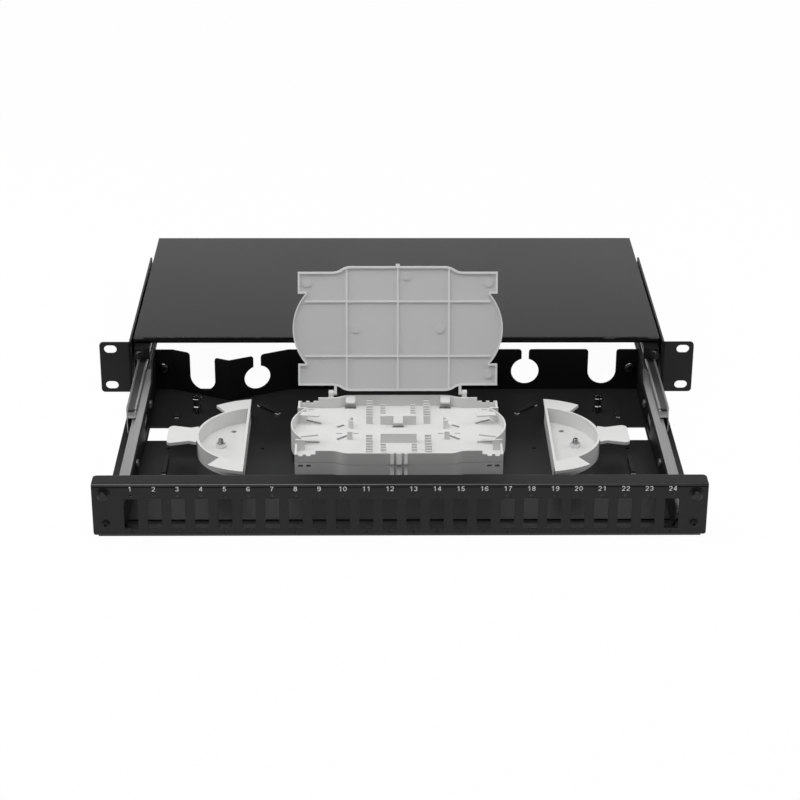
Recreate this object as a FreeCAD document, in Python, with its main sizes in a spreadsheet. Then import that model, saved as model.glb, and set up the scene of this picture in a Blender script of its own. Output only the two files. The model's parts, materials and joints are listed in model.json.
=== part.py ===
"""A sliding fibre patch panel for a 19-inch rack, one rack unit high, with its drawer pulled out.

Frame: the origin is the middle of the rack ears' front plane. +X points to the right as seen from
the front, +Y towards the back of the rack and +Z up. The drawer is drawn pulled out, with the back
of its rear wall in the ears' plane, and the splice cover is drawn open. All sizes are millimetres.

Every driving size is a cell of the spreadsheet named sizes. A Dim carries a number together with
the spreadsheet expression that gives it, so one formula both places a point and binds it.
"""
import FreeCAD, Part
import math
import os
import Sketcher

SIZES = [
    ("rack_width", 482.6, "over both rack ears"),
    ("ear_height", 44.0, "height of a rack ear and of its side plate"),
    ("ear_corner", 3.0, "corner radius of an ear"),
    ("ear_width", 25.4, "rack ear, from its outer edge to the side plate's inner face"),
    ("rack_hole_inset", 8.75, "slot centres from the outer edge of their ear"),
    ("rack_hole_rise", 31.75, "between the two slot centres of an ear"),
    ("rack_slot_length", 10.3, "end to end"),
    ("rack_slot_width", 7.0, "across"),
    ("bracket_sheet", 1.5, "sheet of the rack brackets"),
    ("bracket_bend", 2.25, "bend between an ear and its side plate, on the inside"),
    ("bracket_depth", 190.0, "side plate, front to back"),
    ("boss_height", 1.5, "pressed boss that spaces the side plate off the cover"),
    ("boss_radius", 6.0, "pressed boss"),
    ("boss_front", 40.0, "front boss behind the ears' plane"),
    ("boss_pitch", 110.0, "between the two bosses of a bracket"),
    ("cover_depth", 228.6, "housing cover, front to back"),
    ("cover_setback", 11.0, "front edge of the cover behind the ears' plane"),
    ("cover_drop", 0.4, "top of the cover below the top of the ears"),
    ("cover_sheet", 1.2, "sheet of the housing cover"),
    ("lip_height", 5.3, "stepped front lip of the cover"),
    ("lip_step", 2.2, "upper face of the stepped lip"),
    ("latch_width", 12.4, "latch plate"),
    ("latch_setback", 2.0, "face of the latch plate behind the ears' plane"),
    ("latch_height", 10.2, "face of the latch plate"),
    ("latch_sheet", 1.2, "sheet of the latch plates"),
    ("slide_space", 16.0, "between the cover's side and the drawer's wall"),
    ("slide_height", 27.0, "outer rail"),
    ("slide_sheet", 1.2, "sheet of the rails"),
    ("slide_flange", 7.7, "outer rail, web to lip"),
    ("rail_lip", 0.7, "turned edge of the outer rail"),
    ("outer_rail_length", 220.0, "outer rail"),
    ("middle_rail_height", 19.0, "middle rail"),
    ("middle_rail_length", 205.0, "middle rail"),
    ("middle_rail_reach", 88.0, "middle rail in front of the ears' plane"),
    ("middle_flange", 8.0, "middle rail, web to edge"),
    ("track_groove", 0.8, "depth of the ball groove in the middle rail"),
    ("track_ramp", 0.4, "sloping side of the ball groove"),
    ("track_edge", 2.0, "raised edge beside the ball groove"),
    ("inner_rail_height", 14.0, "inner rail where it shows"),
    ("inner_track_height", 9.0, "inner rail where it runs inside the middle rail"),
    ("inner_track_width", 3.2, "inner rail's ball track, shoulder to edge"),
    ("inner_rail_length", 225.5, "inner rail"),
    ("inner_rail_gap", 13.5, "front end of the inner rail behind the front panel's face"),
    ("inner_cage_length", 86.0, "inner ball cage"),
    ("inner_cage_reach", 98.0, "inner ball cage in front of the ears' plane"),
    ("inner_cage_sheet", 0.6, "inner ball cage"),
    ("outer_cage_length", 90.0, "outer ball cage"),
    ("outer_cage_setback", 20.0, "outer ball cage behind the ears' plane"),
    ("outer_cage_sheet", 0.4, "outer ball cage"),
    ("inner_ball_radius", 1.4, "balls of the inner cage"),
    ("outer_ball_radius", 1.5, "balls of the outer cage"),
    ("ball_pitch", 21.0, "between balls along a row"),
    ("drawer_depth", 248.8, "front face to the back of the rear wall"),
    ("floor_sheet", 1.2, "sheet of the drawer's floor"),
    ("front_overhang", 1.35, "front panel beyond the side plates"),
    ("front_height", 40.6, "front panel"),
    ("front_sheet", 1.5, "sheet of the front panel"),
    ("front_fold", 1.4, "rounded folds of the front panel"),
    ("front_flange", 15.0, "front panel's top flange, over the face"),
    ("bottom_flange", 11.8, "front panel's bottom flange, over the face"),
    ("flange_inset", 17.0, "bottom flange inside the ends of the front panel"),
    ("panel_corner", 2.5, "rounded lower corners of the front panel"),
    ("flange_corner", 3.0, "rounded rear corners of the top flange"),
    ("lap_gap", 10.0, "open groove between the bottom flange and the floor"),
    ("port_margin", 26.355, "middle of the end ports inside the ends of the front panel"),
    ("port_shift", 1.0, "row of ports to the right of the middle"),
    ("port_width", 10.0, "port cut-out"),
    ("port_height", 23.8, "port cut-out"),
    ("port_drop", 2.95, "middle of the cut-outs below the middle of the face"),
    ("port_screw_rise", 28.7, "between the two screw holes of a port"),
    ("port_screw_radius", 1.1, "port screw hole"),
    ("plunger_inset", 2.7, "latch plungers inside the cover's side"),
    ("plunger_z", 12.6, "latch plungers above the middle"),
    ("plunger_radius", 1.3, "shank of a plunger"),
    ("plunger_tip", 2.0, "tapered tip of a plunger"),
    ("plunger_knob_radius", 3.6, "knob of a plunger"),
    ("plunger_knob_height", 3.2, "knob of a plunger"),
    ("plunger_knob_edge", 0.8, "bevel of the knob"),
    ("plunger_length", 25.0, "shank behind the panel's front face"),
    ("grommet_radius", 2.1, "barrel of a grommet"),
    ("grommet_length", 9.0, "barrel behind the panel's front face"),
    ("grommet_flange_radius", 4.6, "flange of a grommet"),
    ("grommet_flange", 1.2, "flange of a grommet, thickness"),
    ("front_screw_inset", 3.5, "lower front screws inside the cover's side"),
    ("front_screw_z", 11.0, "lower front screws below the middle"),
    ("front_screw_head", 2.9, "heads of the lower front screws"),
    ("wall_sheet", 1.2, "sheet of the drawer's side walls and rear wall"),
    ("wall_height", 20.6, "side wall above the floor"),
    ("wall_corner", 14.0, "rounded lower front corner of a side wall"),
    ("wall_rear_length", 22.0, "raised rear corner of a side wall"),
    ("wall_rear_lift", 3.0, "rear end of a side wall above the floor"),
    ("wall_flange", 14.0, "side wall's rear flange"),
    ("wall_flange_half", 10.0, "side wall's rear flange, half its height"),
    ("fold_inset", 60.8, "apex of the rear wall's fold inside the drawer's wall"),
    ("fold_half", 47.0, "half the width of the fold"),
    ("fold_depth", 22.0, "apex of the fold in front of the rear wall"),
    ("fold_entry", 22.1, "cable entries of the fold from its apex"),
    ("entry_inset", 29.0, "cable entry slot inside the drawer's wall"),
    ("entry_radius", 11.4, "cable entry slot, half its width"),
    ("keyhole_pitch", 62.7, "cable keyhole from the entry slot beside it"),
    ("keyhole_radius", 11.2, "cable keyhole"),
    ("keyhole_neck", 5.8, "width of the keyhole's neck"),
    ("entry_floor", 4.7, "foot of the entries above the floor"),
    ("mouth_radius", 2.5, "rounded mouth of the entries"),
    ("rear_screw_inset", 6.0, "rear wall screws inside the drawer's wall"),
    ("rear_screw_z", 0.0, "rear wall screws"),
    ("rear_screw_head", 4.3, "heads of the rear wall screws"),
    ("rail_screw_front", 165.0, "front rail screws in front of the ears' plane"),
    ("rail_screw_pitch", 105.0, "between the rail screws"),
    ("dimple_radius", 1.6, "punched dimples of the floor"),
    ("dimple_depth", 0.8, "punched dimples of the floor"),
    ("window_front", 97.0, "front edge of the floor windows, in front of the ears' plane"),
    ("window_depth", 24.5, "floor and wall windows, front to back"),
    ("window_width", 15.0, "floor windows"),
    ("window_inset", 1.0, "floor windows inside the drawer's wall"),
    ("window_margin", 4.0, "wall windows inside the wall's edges"),
    ("bridge_width", 3.4, "straps of the tie bridges"),
    ("bridge_foot", 2.6, "feet of the tie bridges"),
    ("bridge_rise", 2.4, "tie bridges above the floor"),
    ("bridge_inset", 19.0, "outer tie bridges and dimples inside the drawer's wall"),
    ("bridge_long", 30.0, "front tie bridges"),
    ("bridge_long_y", 141.0, "front tie bridges in front of the ears' plane"),
    ("bridge_short", 9.0, "rear tie bridges"),
    ("bridge_short_y", 52.5, "rear tie bridges in front of the ears' plane"),
    ("bridge_short_shift", 1.5, "rear tie bridges inside the front ones"),
    ("bridge_slant", 24.0, "slanted tie bridges"),
    ("bridge_slant_y", 41.0, "slanted tie bridges in front of the ears' plane"),
    ("bridge_slant_shift", 2.0, "slanted tie bridges inside the centres of the spools' arcs"),
    ("spool_inset", 91.0, "centre of a spool's arc inside the drawer's wall"),
    ("spool_middle_y", 114.5, "centre of a spool's arc in front of the ears' plane"),
    ("spool_radius", 50.0, "outside of a spool's round wall"),
    ("spool_chord", 11.0, "flat wall of a spool from the centre of its arc"),
    ("spool_height", 14.0, "spool"),
    ("spool_wall", 1.8, "walls and floor of a spool"),
    ("spool_lip", 2.4, "top flanges of a spool"),
    ("spool_fan", 14.5, "fan flanges beyond the round wall"),
    ("spool_handle", 22.0, "handle flange beyond the round wall"),
    ("handle_root", 13.6, "half the handle's width at the round wall"),
    ("handle_waist", 11.6, "half the handle's width at its waist"),
    ("handle_waist_reach", 6.0, "waist of the handle beyond the round wall"),
    ("handle_tip", 15.0, "half the handle's width at its tip"),
    ("handle_corner", 4.0, "rounded corners of the handle's tip"),
    ("stud_reach", 31.7, "spool studs outwards from the centre of the spool's arc"),
    ("stud_shift", 2.8, "spool studs behind the centre of the spool's arc"),
    ("spare_hole_x", 8.5, "second hole of a spool, inwards from the stud"),
    ("spare_hole_y", 27.0, "second hole of a spool, behind the stud"),
    ("stud_radius", 2.0, "spool studs"),
    ("stud_height", 8.6, "spool studs"),
    ("stud_bevel", 0.6, "bevelled end of a stud"),
    ("nut_width", 7.0, "spool nuts across flats"),
    ("nut_height", 3.2, "spool nuts"),
    ("post_inset", 36.0, "clamp posts inside the drawer's wall"),
    ("post_y", 45.0, "clamp posts in front of the ears' plane"),
    ("post_radius", 3.4, "clamp posts"),
    ("post_height", 12.0, "clamp posts"),
    ("post_foot", 5.4, "thick foot of a clamp post"),
    ("post_neck", 2.7, "radius of a clamp post above its foot"),
    ("post_slope", 0.6, "bevel between the foot and the neck"),
    ("post_bore", 1.7, "threaded bore of a clamp post"),
    ("post_bore_depth", 4.0, "threaded bore of a clamp post"),
    ("post_cross_hole", 1.5, "cross hole for the strength member"),
    ("post_cross_z", 3.0, "cross hole above the floor"),
    ("clamp_shank", 3.6, "shank of a clamp screw"),
    ("clamp_flange", 4.0, "flange radius of a clamp screw"),
    ("clamp_flange_height", 0.8, "flange of a clamp screw"),
    ("clamp_width", 5.8, "hexagon of a clamp screw across flats"),
    ("clamp_height", 2.4, "hexagon of a clamp screw above its flange"),
    ("tray_middle", 116.5, "middle of the splice trays in front of the ears' plane"),
    ("tray_height", 10.1, "one splice tray"),
    ("tray_foot", 3.8, "moulded feet under the lower splice tray"),
    ("tray_foot_radius", 5.0, "moulded feet"),
    ("tray_foot_x", 57.0, "moulded feet from the trays' middle"),
    ("tray_foot_y", 34.0, "moulded feet from the trays' middle"),
    ("tray_seam", 0.6, "recessed lower edge of a splice tray, in and up"),
    ("tray_wall", 1.5, "walls and floor of a splice tray"),
    ("tray_half_depth", 51.7, "middle stretch of the trays"),
    ("tray_corner_depth", 47.3, "corners of the trays"),
    ("tray_corner_x", 78.0, "corners of the trays"),
    ("tray_end_x", 72.5, "foot of the trays' round ends"),
    ("tray_end_y", 27.0, "foot of the trays' round ends"),
    ("tray_end_gap", 0.6, "between a round end and its corner's wall"),
    ("tray_end_radius", 42.4, "round ends of the trays"),
    ("tray_step_inner", 36.9, "shoulder of the outline"),
    ("tray_step_outer", 51.4, "shoulder of the outline"),
    ("comb_start", 62.3, "lowered corners of the upper tray from its middle"),
    ("comb_drop", 3.0, "lowered corners below the rim"),
    ("comb_inset", 4.4, "outer notch of a corner inside the tray's end"),
    ("comb_pitch", 5.9, "between the two notches of a corner"),
    ("comb_width", 3.3, "notches of the corners"),
    ("comb_depth", 1.4, "notches of the corners"),
    ("vent_height", 1.8, "holes of the lower tray's corners"),
    ("vent_drop", 2.6, "middle of those holes below the rim"),
    ("fin_sheet", 1.2, "fins that hold the splices"),
    ("fin_pitch", 4.6, "between fins"),
    ("fin_outer_x", 22.3, "outer fins from the middle"),
    ("fin_outer_width", 5.0, "outer fins"),
    ("fin_outer_height", 6.6, "outer fins above the tray's floor"),
    ("fin_outer_rear", 17.6, "first outer fin behind the tray's middle"),
    ("fin_outer_front", 43.3, "first outer fin in front of the tray's middle"),
    ("fin_inner_x", 11.7, "inner fins from the middle"),
    ("fin_inner_width", 4.0, "inner fins"),
    ("fin_inner_height", 4.7, "inner fins above the tray's floor"),
    ("fin_inner_rear", 24.1, "first inner fin behind the tray's middle"),
    ("fin_inner_front", 45.3, "first inner fin in front of the tray's middle"),
    ("block_width", 27.4, "cross blocks between the fins"),
    ("block_depth", 4.0, "cross blocks between the fins"),
    ("block_height", 7.4, "cross blocks above the tray's floor"),
    ("block_rear", 17.5, "rear cross block behind the tray's middle"),
    ("block_front", 14.1, "front cross block in front of the tray's middle"),
    ("guide_radius", 4.0, "half-round fibre guides"),
    ("guide_wall", 1.3, "half-round fibre guides"),
    ("guide_x", 34.8, "half-round fibre guides from the middle"),
    ("guide_y", 12.0, "half-round fibre guides behind the tray's middle"),
    ("guide_drop", 1.9, "fibre guides below the rim"),
    ("stop_x", 37.0, "square fibre guides from the middle"),
    ("stop_y", 9.8, "square fibre guides in front of the tray's middle"),
    ("stop_width", 4.0, "square fibre guides"),
    ("stop_depth", 2.2, "square fibre guides"),
    ("tab_sheet", 1.2, "fibre tabs and snap tongues"),
    ("tab_drop", 0.6, "fibre tabs below the rim"),
    ("snap_x", 37.2, "snap tongues of the rear wall from the middle"),
    ("snap_width", 7.4, "snap tongues"),
    ("snap_reach", 4.8, "snap tongues inwards from their wall"),
    ("snap_drop", 3.6, "slope of the snap tongues"),
    ("snap_slot_gap", 0.7, "slot round a snap tongue"),
    ("catch_width", 12.8, "front catch of a tray"),
    ("catch_height", 8.0, "front catch of a tray"),
    ("catch_reach", 3.4, "front catch before the tray's wall"),
    ("catch_brow", 0.8, "flat top and foot of the front catch"),
    ("catch_slot", 2.0, "slots of the front catch"),
    ("catch_slot_x", 2.9, "slots of the front catch from the middle"),
    ("catch_relief", 0.5, "slit in the rim behind the front catch"),
    ("catch_relief_depth", 3.0, "slit in the rim behind the front catch"),
    ("cover_plate", 1.5, "plate of the splice cover"),
    ("cover_rib", 1.4, "ribs and rim of the splice cover, height"),
    ("cover_rib_width", 1.4, "ribs of the splice cover"),
    ("cover_rib_step", 0.3, "ribs lower than the rim"),
    ("cover_rib_x", 40.0, "outer long ribs from the middle"),
    ("cover_rib_y", 21.5, "cross ribs from the middle"),
    ("cover_rim", 1.5, "rim of the splice cover"),
    ("cover_pad_radius", 3.2, "ejector pads of the splice cover"),
    ("cover_pad_step", 0.6, "ejector pads lower than the rim"),
    ("cover_tooth", 3.2, "snap tooth of the splice cover"),
    ("cover_tooth_reach", 1.8, "snap tooth before the plate"),
    ("cover_inset", 2.7, "splice cover's front and rear edges inside the trays'"),
    ("cover_shift", 0.5, "splice cover in front of the trays' middle when shut"),
    ("cover_open_angle", 107.0, "splice cover from shut"),
    ("hinge_x", 50.0, "hinge arms of the splice cover from the middle"),
    ("hinge_inset", 1.3, "hinge axis in front of the trays' rear edge"),
    ("hinge_rise", 2.2, "hinge axis above the tray's rim"),
    ("hinge_arm", 2.2, "width of a hinge arm"),
    ("hinge_arm_edge", 0.1, "hinge arm beyond its pin, on the radius"),
    ("hinge_arm_root", 1.0, "hinge arm inside the plate's edge"),
    ("hinge_pin_radius", 1.5, "hinge pins"),
    ("hinge_pin_length", 4.4, "hinge pins"),
    ("hinge_knuckle_radius", 2.6, "hinge knuckles"),
    ("hinge_knuckle_width", 3.8, "hinge knuckles"),
    ("hinge_knuckle_foot", 5.0, "foot of a knuckle below the rim"),
    ("hinge_knuckle_toe", 1.5, "rear face of a knuckle below the rim"),
    ("hinge_knuckle_step", 0.3, "knuckle behind the tray's corner"),
    ("running_gap", 0.4, "between the drawer and the housing"),
    ("side_gap", 0.5, "between the drawer's floor and the side plates"),
    ("web_gap", 0.2, "between the rails and the ball cages"),
    ("hinge_gap", 0.06, "hinge pin in its knuckle, on the radius"),
    ("screw_gap", 0.1, "screw in its hole, on the radius"),
    ("screw_radius", 2.0, "shank of the screws"),
    ("screw_end", 3.0, "screws beyond the sheets that they hold"),
    ("screw_head_radius", 3.6, "pan heads"),
    ("screw_head_height", 2.0, "pan heads"),
]

PORT_COUNT = 24
BALLS_PER_ROW = 4
OUTER_FINS, INNER_FINS = 7, 5
PLANE_ROLES = {"XY": "XY_Plane", "XZ": "XZ_Plane", "YZ": "YZ_Plane"}
# How far a cut runs past the faces that it opens
PAST = 1.0
# Flat top and upright rim of a pan head, as shares of its radius and height
HEAD_FLAT, HEAD_RIM = 0.55, 0.45
# Angles of a spool's fan flange on the round wall and on its outer edge, first and last
FAN_ROOT, FAN_EDGE = (127.0, 103.5), (126.0, 100.0)
# Tabs and slots in the left half of a splice tray: x, y, length, width and turn in degrees
TRAY_TABS = [(-68.1, 18.3, 14.7, 6.0, -6.6), (-68.8, -16.9, 14.8, 6.0, 13.7)]
TRAY_SLOTS = [(-65.6, 20.9, 13.6, 2.6, -29.7), (-66.2, -14.7, 12.4, 2.6, -6.0),
              (-44.4, 13.1, 6.9, 2.4, 37.0), (-43.0, -7.0, 10.3, 2.6, 42.0),
              (-45.4, 0.0, 4.4, 1.0, 0.0), (-32.5, 0.0, 4.4, 1.0, 0.0), (-68.0, 43.0, 4.4, 1.0, 0.0)]
# Slot under the snap tongue of the rear cross block: y, length and width
BLOCK_SLOT = (12.0, 8.8, 2.6)
# Ejector pads of the splice cover
COVER_PADS = [(-33.0, 0.0), (33.0, 0.0), (6.5, -41.5), (-71.0, -36.0), (71.0, -36.0), (71.0, 36.0)]


class Dim:
    """A number and the spreadsheet expression that it follows from."""

    def __init__(self, value, text):
        self.value = float(value)
        self.text = text

    @staticmethod
    def of(other):
        return other if isinstance(other, Dim) else Dim(other, "(%r)" % float(other))

    def _join(self, other, sign, value):
        return Dim(value, "(%s %s %s)" % (self.text, sign, Dim.of(other).text))

    def __add__(self, other):
        return self._join(other, "+", self.value + Dim.of(other).value)

    def __sub__(self, other):
        return self._join(other, "-", self.value - Dim.of(other).value)

    def __mul__(self, other):
        return self._join(other, "*", self.value * Dim.of(other).value)

    def __truediv__(self, other):
        return self._join(other, "/", self.value / Dim.of(other).value)

    def __radd__(self, other):
        return Dim.of(other) + self

    def __rsub__(self, other):
        return Dim.of(other) - self

    def __rmul__(self, other):
        return Dim.of(other) * self

    def __neg__(self):
        return Dim(-self.value, "(-%s)" % self.text)


doc = FreeCAD.newDocument("sliding_fibre_patch_panel")


def write_sheet():
    """Put every driving size into the spreadsheet and return the cells as Dims."""
    sheet = doc.addObject("Spreadsheet::Sheet", "sizes")
    cells = {}
    for row, (name, value, meaning) in enumerate(SIZES, start=1):
        sheet.set("A%d" % row, name.replace("_", " "))
        sheet.set("B%d" % row, str(value))
        sheet.set("C%d" % row, meaning)
        sheet.setAlias("B%d" % row, name)
        cells[name] = Dim(value, "sizes." + name)
    doc.recompute()
    return cells


class Cells:
    """The driving sizes by name, as attributes."""

    def __init__(self, cells):
        self.__dict__.update(cells)


d = Cells(write_sheet())

# Planes and faces that several pieces share
EAR_OUT = d.rack_width / 2
RACK_HOLE_X = EAR_OUT - d.rack_hole_inset
PLATE_IN = EAR_OUT - d.ear_width
PLATE_OUT = PLATE_IN + d.bracket_sheet
COVER_HALF = PLATE_IN - d.boss_height
COVER_IN = COVER_HALF - d.cover_sheet
EAR_TOP = d.ear_height / 2
COVER_TOP = EAR_TOP - d.cover_drop
COVER_REAR = d.cover_setback + d.cover_depth
FRONT_TOP = d.front_height / 2
FRONT_HALF = PLATE_OUT + d.front_overhang
FACE_FRONT = -d.drawer_depth
FACE_BACK = FACE_FRONT + d.front_sheet
FLANGE_REAR = FACE_FRONT + d.front_flange
BOTTOM_REAR = FACE_FRONT + d.bottom_flange
FLOOR_TOP = -FRONT_TOP + d.floor_sheet
FLOOR_HALF = PLATE_IN - d.side_gap
COVER_LOW = FLOOR_TOP + d.running_gap
LIP_LOW = COVER_TOP - d.lip_height
REAR_TOP = LIP_LOW - d.running_gap
SLIDE_MIDDLE = FLOOR_TOP + d.running_gap + d.slide_height / 2
WALL_OUT = COVER_IN - d.slide_space
WALL_IN = WALL_OUT - d.wall_sheet
MIDDLE_WEB = COVER_IN - d.slide_sheet - d.web_gap - d.outer_cage_sheet - d.web_gap
MIDDLE_END = MIDDLE_WEB - d.middle_flange
INNER_CAGE_WEB = MIDDLE_WEB - d.slide_sheet - d.web_gap
INNER_SHOULDER = MIDDLE_END - 2 * d.running_gap
INNER_TRACK_END = INNER_SHOULDER + d.inner_track_width
RAIL_MOUTH = COVER_IN - d.slide_flange
PLUNGER_X = COVER_IN - d.plunger_inset
FRONT_SCREW_X = COVER_IN - d.front_screw_inset
REAR_SCREW_X = WALL_IN - d.rear_screw_inset
ENTRY_X = WALL_IN - d.entry_inset
KEYHOLE_X = ENTRY_X - d.keyhole_pitch
FOLD_X = WALL_IN - d.fold_inset
BRIDGE_X = WALL_IN - d.bridge_inset
POST_X = WALL_IN - d.post_inset
SPOOL_X = d.spool_inset - WALL_IN
SPOOL_Y = -d.spool_middle_y
STUD_X = SPOOL_X - d.stud_reach
STUD_Y = SPOOL_Y + d.stud_shift
PORT_PITCH = 2 * (FRONT_HALF - d.port_margin) / (PORT_COUNT - 1)
TRAY_Y = -d.tray_middle
TRAY_LOW = FLOOR_TOP + d.tray_foot
TRAY_TOP = TRAY_LOW + 2 * d.tray_height
HINGE_Y = TRAY_Y + d.tray_half_depth - d.hinge_inset
HINGE_Z = TRAY_TOP + d.hinge_rise


def bind(target, prop, dim):
    """Tie a property to the spreadsheet."""
    target.setExpression(prop, Dim.of(dim).text)


def new_body(label):
    """Start a sub-part whose file takes the label's name."""
    body = doc.addObject("PartDesign::Body", label)
    body.Label = label
    return body


def new_sketch(body, plane, offset):
    """Attach a sketch to one of the body's own origin planes, moved along the plane's normal."""
    sketch = body.newObject("Sketcher::SketchObject", "Sketch")
    for item in body.Origin.OriginFeatures:
        if item.Role == PLANE_ROLES[plane]:
            sketch.AttachmentSupport = [(item, "")]
    sketch.MapMode = "FlatFace"
    along = -offset if plane == "XZ" else Dim.of(offset)
    bind(sketch, "AttachmentOffset.Base.z", along)
    return sketch


def pin_point(sketch, geometry, position, x, y):
    """Hold one end or centre of a sketch element at x, y."""
    for kind, dim in (("DistanceX", Dim.of(x)), ("DistanceY", Dim.of(y))):
        index = sketch.addConstraint(
            Sketcher.Constraint(kind, -1, 1, geometry, position, dim.value))
        bind(sketch, "Constraints[%d]" % index, dim)


def hold_radius(sketch, geometry, radius):
    """Hold the radius of an arc or circle."""
    dim = Dim.of(radius)
    index = sketch.addConstraint(Sketcher.Constraint("Radius", geometry, dim.value))
    bind(sketch, "Constraints[%d]" % index, dim)


def arc_between(start, end, radius):
    """The short arc of a radius from start to end, with its centre on the left of the way."""
    middle = (start + end) * 0.5
    way = end - start
    half = way.Length / 2
    left = FreeCAD.Vector(-way.y, way.x, 0).normalize()
    centre = middle + left * math.sqrt(max(radius * radius - half * half, 0.0))
    first = math.atan2(start.y - centre.y, start.x - centre.x)
    last = math.atan2(end.y - centre.y, end.x - centre.x)
    circle = Part.Circle(centre, FreeCAD.Vector(0, 0, 1), radius)
    return Part.ArcOfCircle(circle, first, last if last > first else last + 2 * math.pi)


def draw_loop(sketch, loop):
    """Draw a closed outline. A corner is (x, y), or (x, y, radius) where an arc starts there.

    A positive radius turns to the left on the way to the next corner, a negative one to the right.
    """
    corners = [tuple(Dim.of(number) for number in corner) for corner in loop]
    points = [FreeCAD.Vector(corner[0].value, corner[1].value, 0) for corner in corners]
    ends = []
    for index, corner in enumerate(corners):
        here = points[index]
        there = points[(index + 1) % len(points)]
        if len(corner) == 2:
            geometry = sketch.addGeometry(Part.LineSegment(here, there))
            ends.append((geometry, 1, 2))
        elif corner[2].value > 0:
            geometry = sketch.addGeometry(arc_between(here, there, corner[2].value))
            ends.append((geometry, 1, 2))
        else:
            geometry = sketch.addGeometry(arc_between(there, here, -corner[2].value))
            ends.append((geometry, 2, 1))
    for index, (geometry, first, last) in enumerate(ends):
        after, after_first = ends[(index + 1) % len(ends)][:2]
        sketch.addConstraint(Sketcher.Constraint("Coincident", geometry, last, after, after_first))
        pin_point(sketch, geometry, first, corners[index][0], corners[index][1])
        if len(corners[index]) == 3:
            radius = corners[index][2]
            hold_radius(sketch, geometry, radius if radius.value > 0 else -radius)


def draw_circle(sketch, x, y, radius):
    """Draw a full circle."""
    centre = FreeCAD.Vector(Dim.of(x).value, Dim.of(y).value, 0)
    circle = Part.Circle(centre, FreeCAD.Vector(0, 0, 1), Dim.of(radius).value)
    geometry = sketch.addGeometry(circle)
    pin_point(sketch, geometry, 3, x, y)
    hold_radius(sketch, geometry, radius)


def rectangle(x_low, x_high, y_low, y_high):
    """The corners of an upright rectangle."""
    return [(x_low, y_low), (x_high, y_low), (x_high, y_high), (x_low, y_high)]


def centred(x, y, width, height):
    """The corners of an upright rectangle about its middle."""
    return rectangle(x - width / 2, x + width / 2, y - height / 2, y + height / 2)


def turned_bar(x, y, length, width, degrees):
    """The corners of a bar about its middle, turned in its plane."""
    cos, sin = math.cos(math.radians(degrees)), math.sin(math.radians(degrees))
    corners = []
    for along, across in ((-0.5, -0.5), (0.5, -0.5), (0.5, 0.5), (-0.5, 0.5)):
        corners.append((x + length * (along * cos) - width * (across * sin),
                        y + length * (along * sin) + width * (across * cos)))
    return corners


def rounded_slot(x, y, length, width):
    """A slot along the first axis with round ends, each made of two quarter arcs."""
    radius = width / 2
    flat = length / 2 - radius
    return [(x - flat, y - radius), (x + flat, y - radius, radius), (x + flat + radius, y, radius),
            (x + flat, y + radius), (x - flat, y + radius, radius), (x - flat - radius, y, radius)]


def mirrored_loop(loop):
    """The mirror image of an outline across the middle plane, drawn the same way round."""
    corners = [(-corner[0], corner[1]) for corner in reversed(loop)]
    arcs = [tuple(corner[2:]) for corner in reversed(loop)]
    return [corner + arcs[(index + 1) % len(arcs)] for index, corner in enumerate(corners)]


def both_sides(loops):
    """Outlines of the left half together with their mirror images."""
    return loops + [mirrored_loop(loop) for loop in loops]


def hexagon(across):
    """The corners of a hexagon about the origin, from its width across flats."""
    corner = across / math.sqrt(3.0)
    return [(corner * math.cos(math.radians(60 * i)), corner * math.sin(math.radians(60 * i)))
            for i in range(6)]


def draw(sketch, shapes):
    """Draw outlines, and circles written as a dictionary."""
    for shape in shapes:
        if isinstance(shape, dict):
            draw_circle(sketch, shape["x"], shape["y"], shape["radius"])
        else:
            draw_loop(sketch, shape)


def circle(x, y, radius):
    """A circle for draw."""
    return {"x": x, "y": y, "radius": radius}


def pad(body, plane, low, high, shapes):
    """Add material between two levels along the plane's own axis."""
    sketch = new_sketch(body, plane, high if plane == "XZ" else low)
    draw(sketch, shapes)
    feature = body.newObject("PartDesign::Pad", "Pad")
    feature.Profile = sketch
    bind(feature, "Length", Dim.of(high) - low)
    doc.recompute()
    return feature


def pocket(body, plane, low, high, shapes):
    """Cut material between two levels along the plane's own axis, and see that it was cut."""
    before = body.Shape.Volume
    sketch = new_sketch(body, plane, low if plane == "XZ" else high)
    draw(sketch, shapes)
    feature = body.newObject("PartDesign::Pocket", "Pocket")
    feature.Profile = sketch
    bind(feature, "Length", Dim.of(high) - low)
    doc.recompute()
    if body.Shape.Volume >= before:
        raise RuntimeError("a pocket of %s cuts nothing" % body.Label)
    return feature


def repeat(body, feature, pitch, count, axis="H_Axis"):
    """Repeat a feature along its sketch's first axis, or its second."""
    pattern = body.newObject("PartDesign::LinearPattern", "Pattern")
    pattern.Originals = [feature]
    pattern.Direction = (feature.Profile[0], [axis])
    pattern.Mode = "Spacing"
    bind(pattern, "Offset", pitch)
    pattern.Occurrences = count
    body.Tip = pattern
    doc.recompute()


def round_edges(body, radius, wanted):
    """Fillet the edges whose middle point passes a test."""
    names = []
    for index, edge in enumerate(body.Shape.Edges, start=1):
        if wanted(edge.CenterOfMass, edge):
            names.append("Edge%d" % index)
    base = body.Tip
    fillet = body.newObject("PartDesign::Fillet", "Fillet")
    fillet.Base = (base, names)
    bind(fillet, "Radius", radius)
    body.Tip = fillet
    doc.recompute()


def turned(label, plane, profile):
    """Turn a half profile about the plane's second axis: Y on the XY plane, Z on the XZ plane."""
    body = new_body(label)
    sketch = new_sketch(body, plane, 0)
    draw_loop(sketch, profile)
    feature = body.newObject("PartDesign::Revolution", "Revolution")
    feature.Profile = sketch
    feature.ReferenceAxis = (sketch, ["V_Axis"])
    feature.Angle = 360.0
    doc.recompute()
    return body


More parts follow.
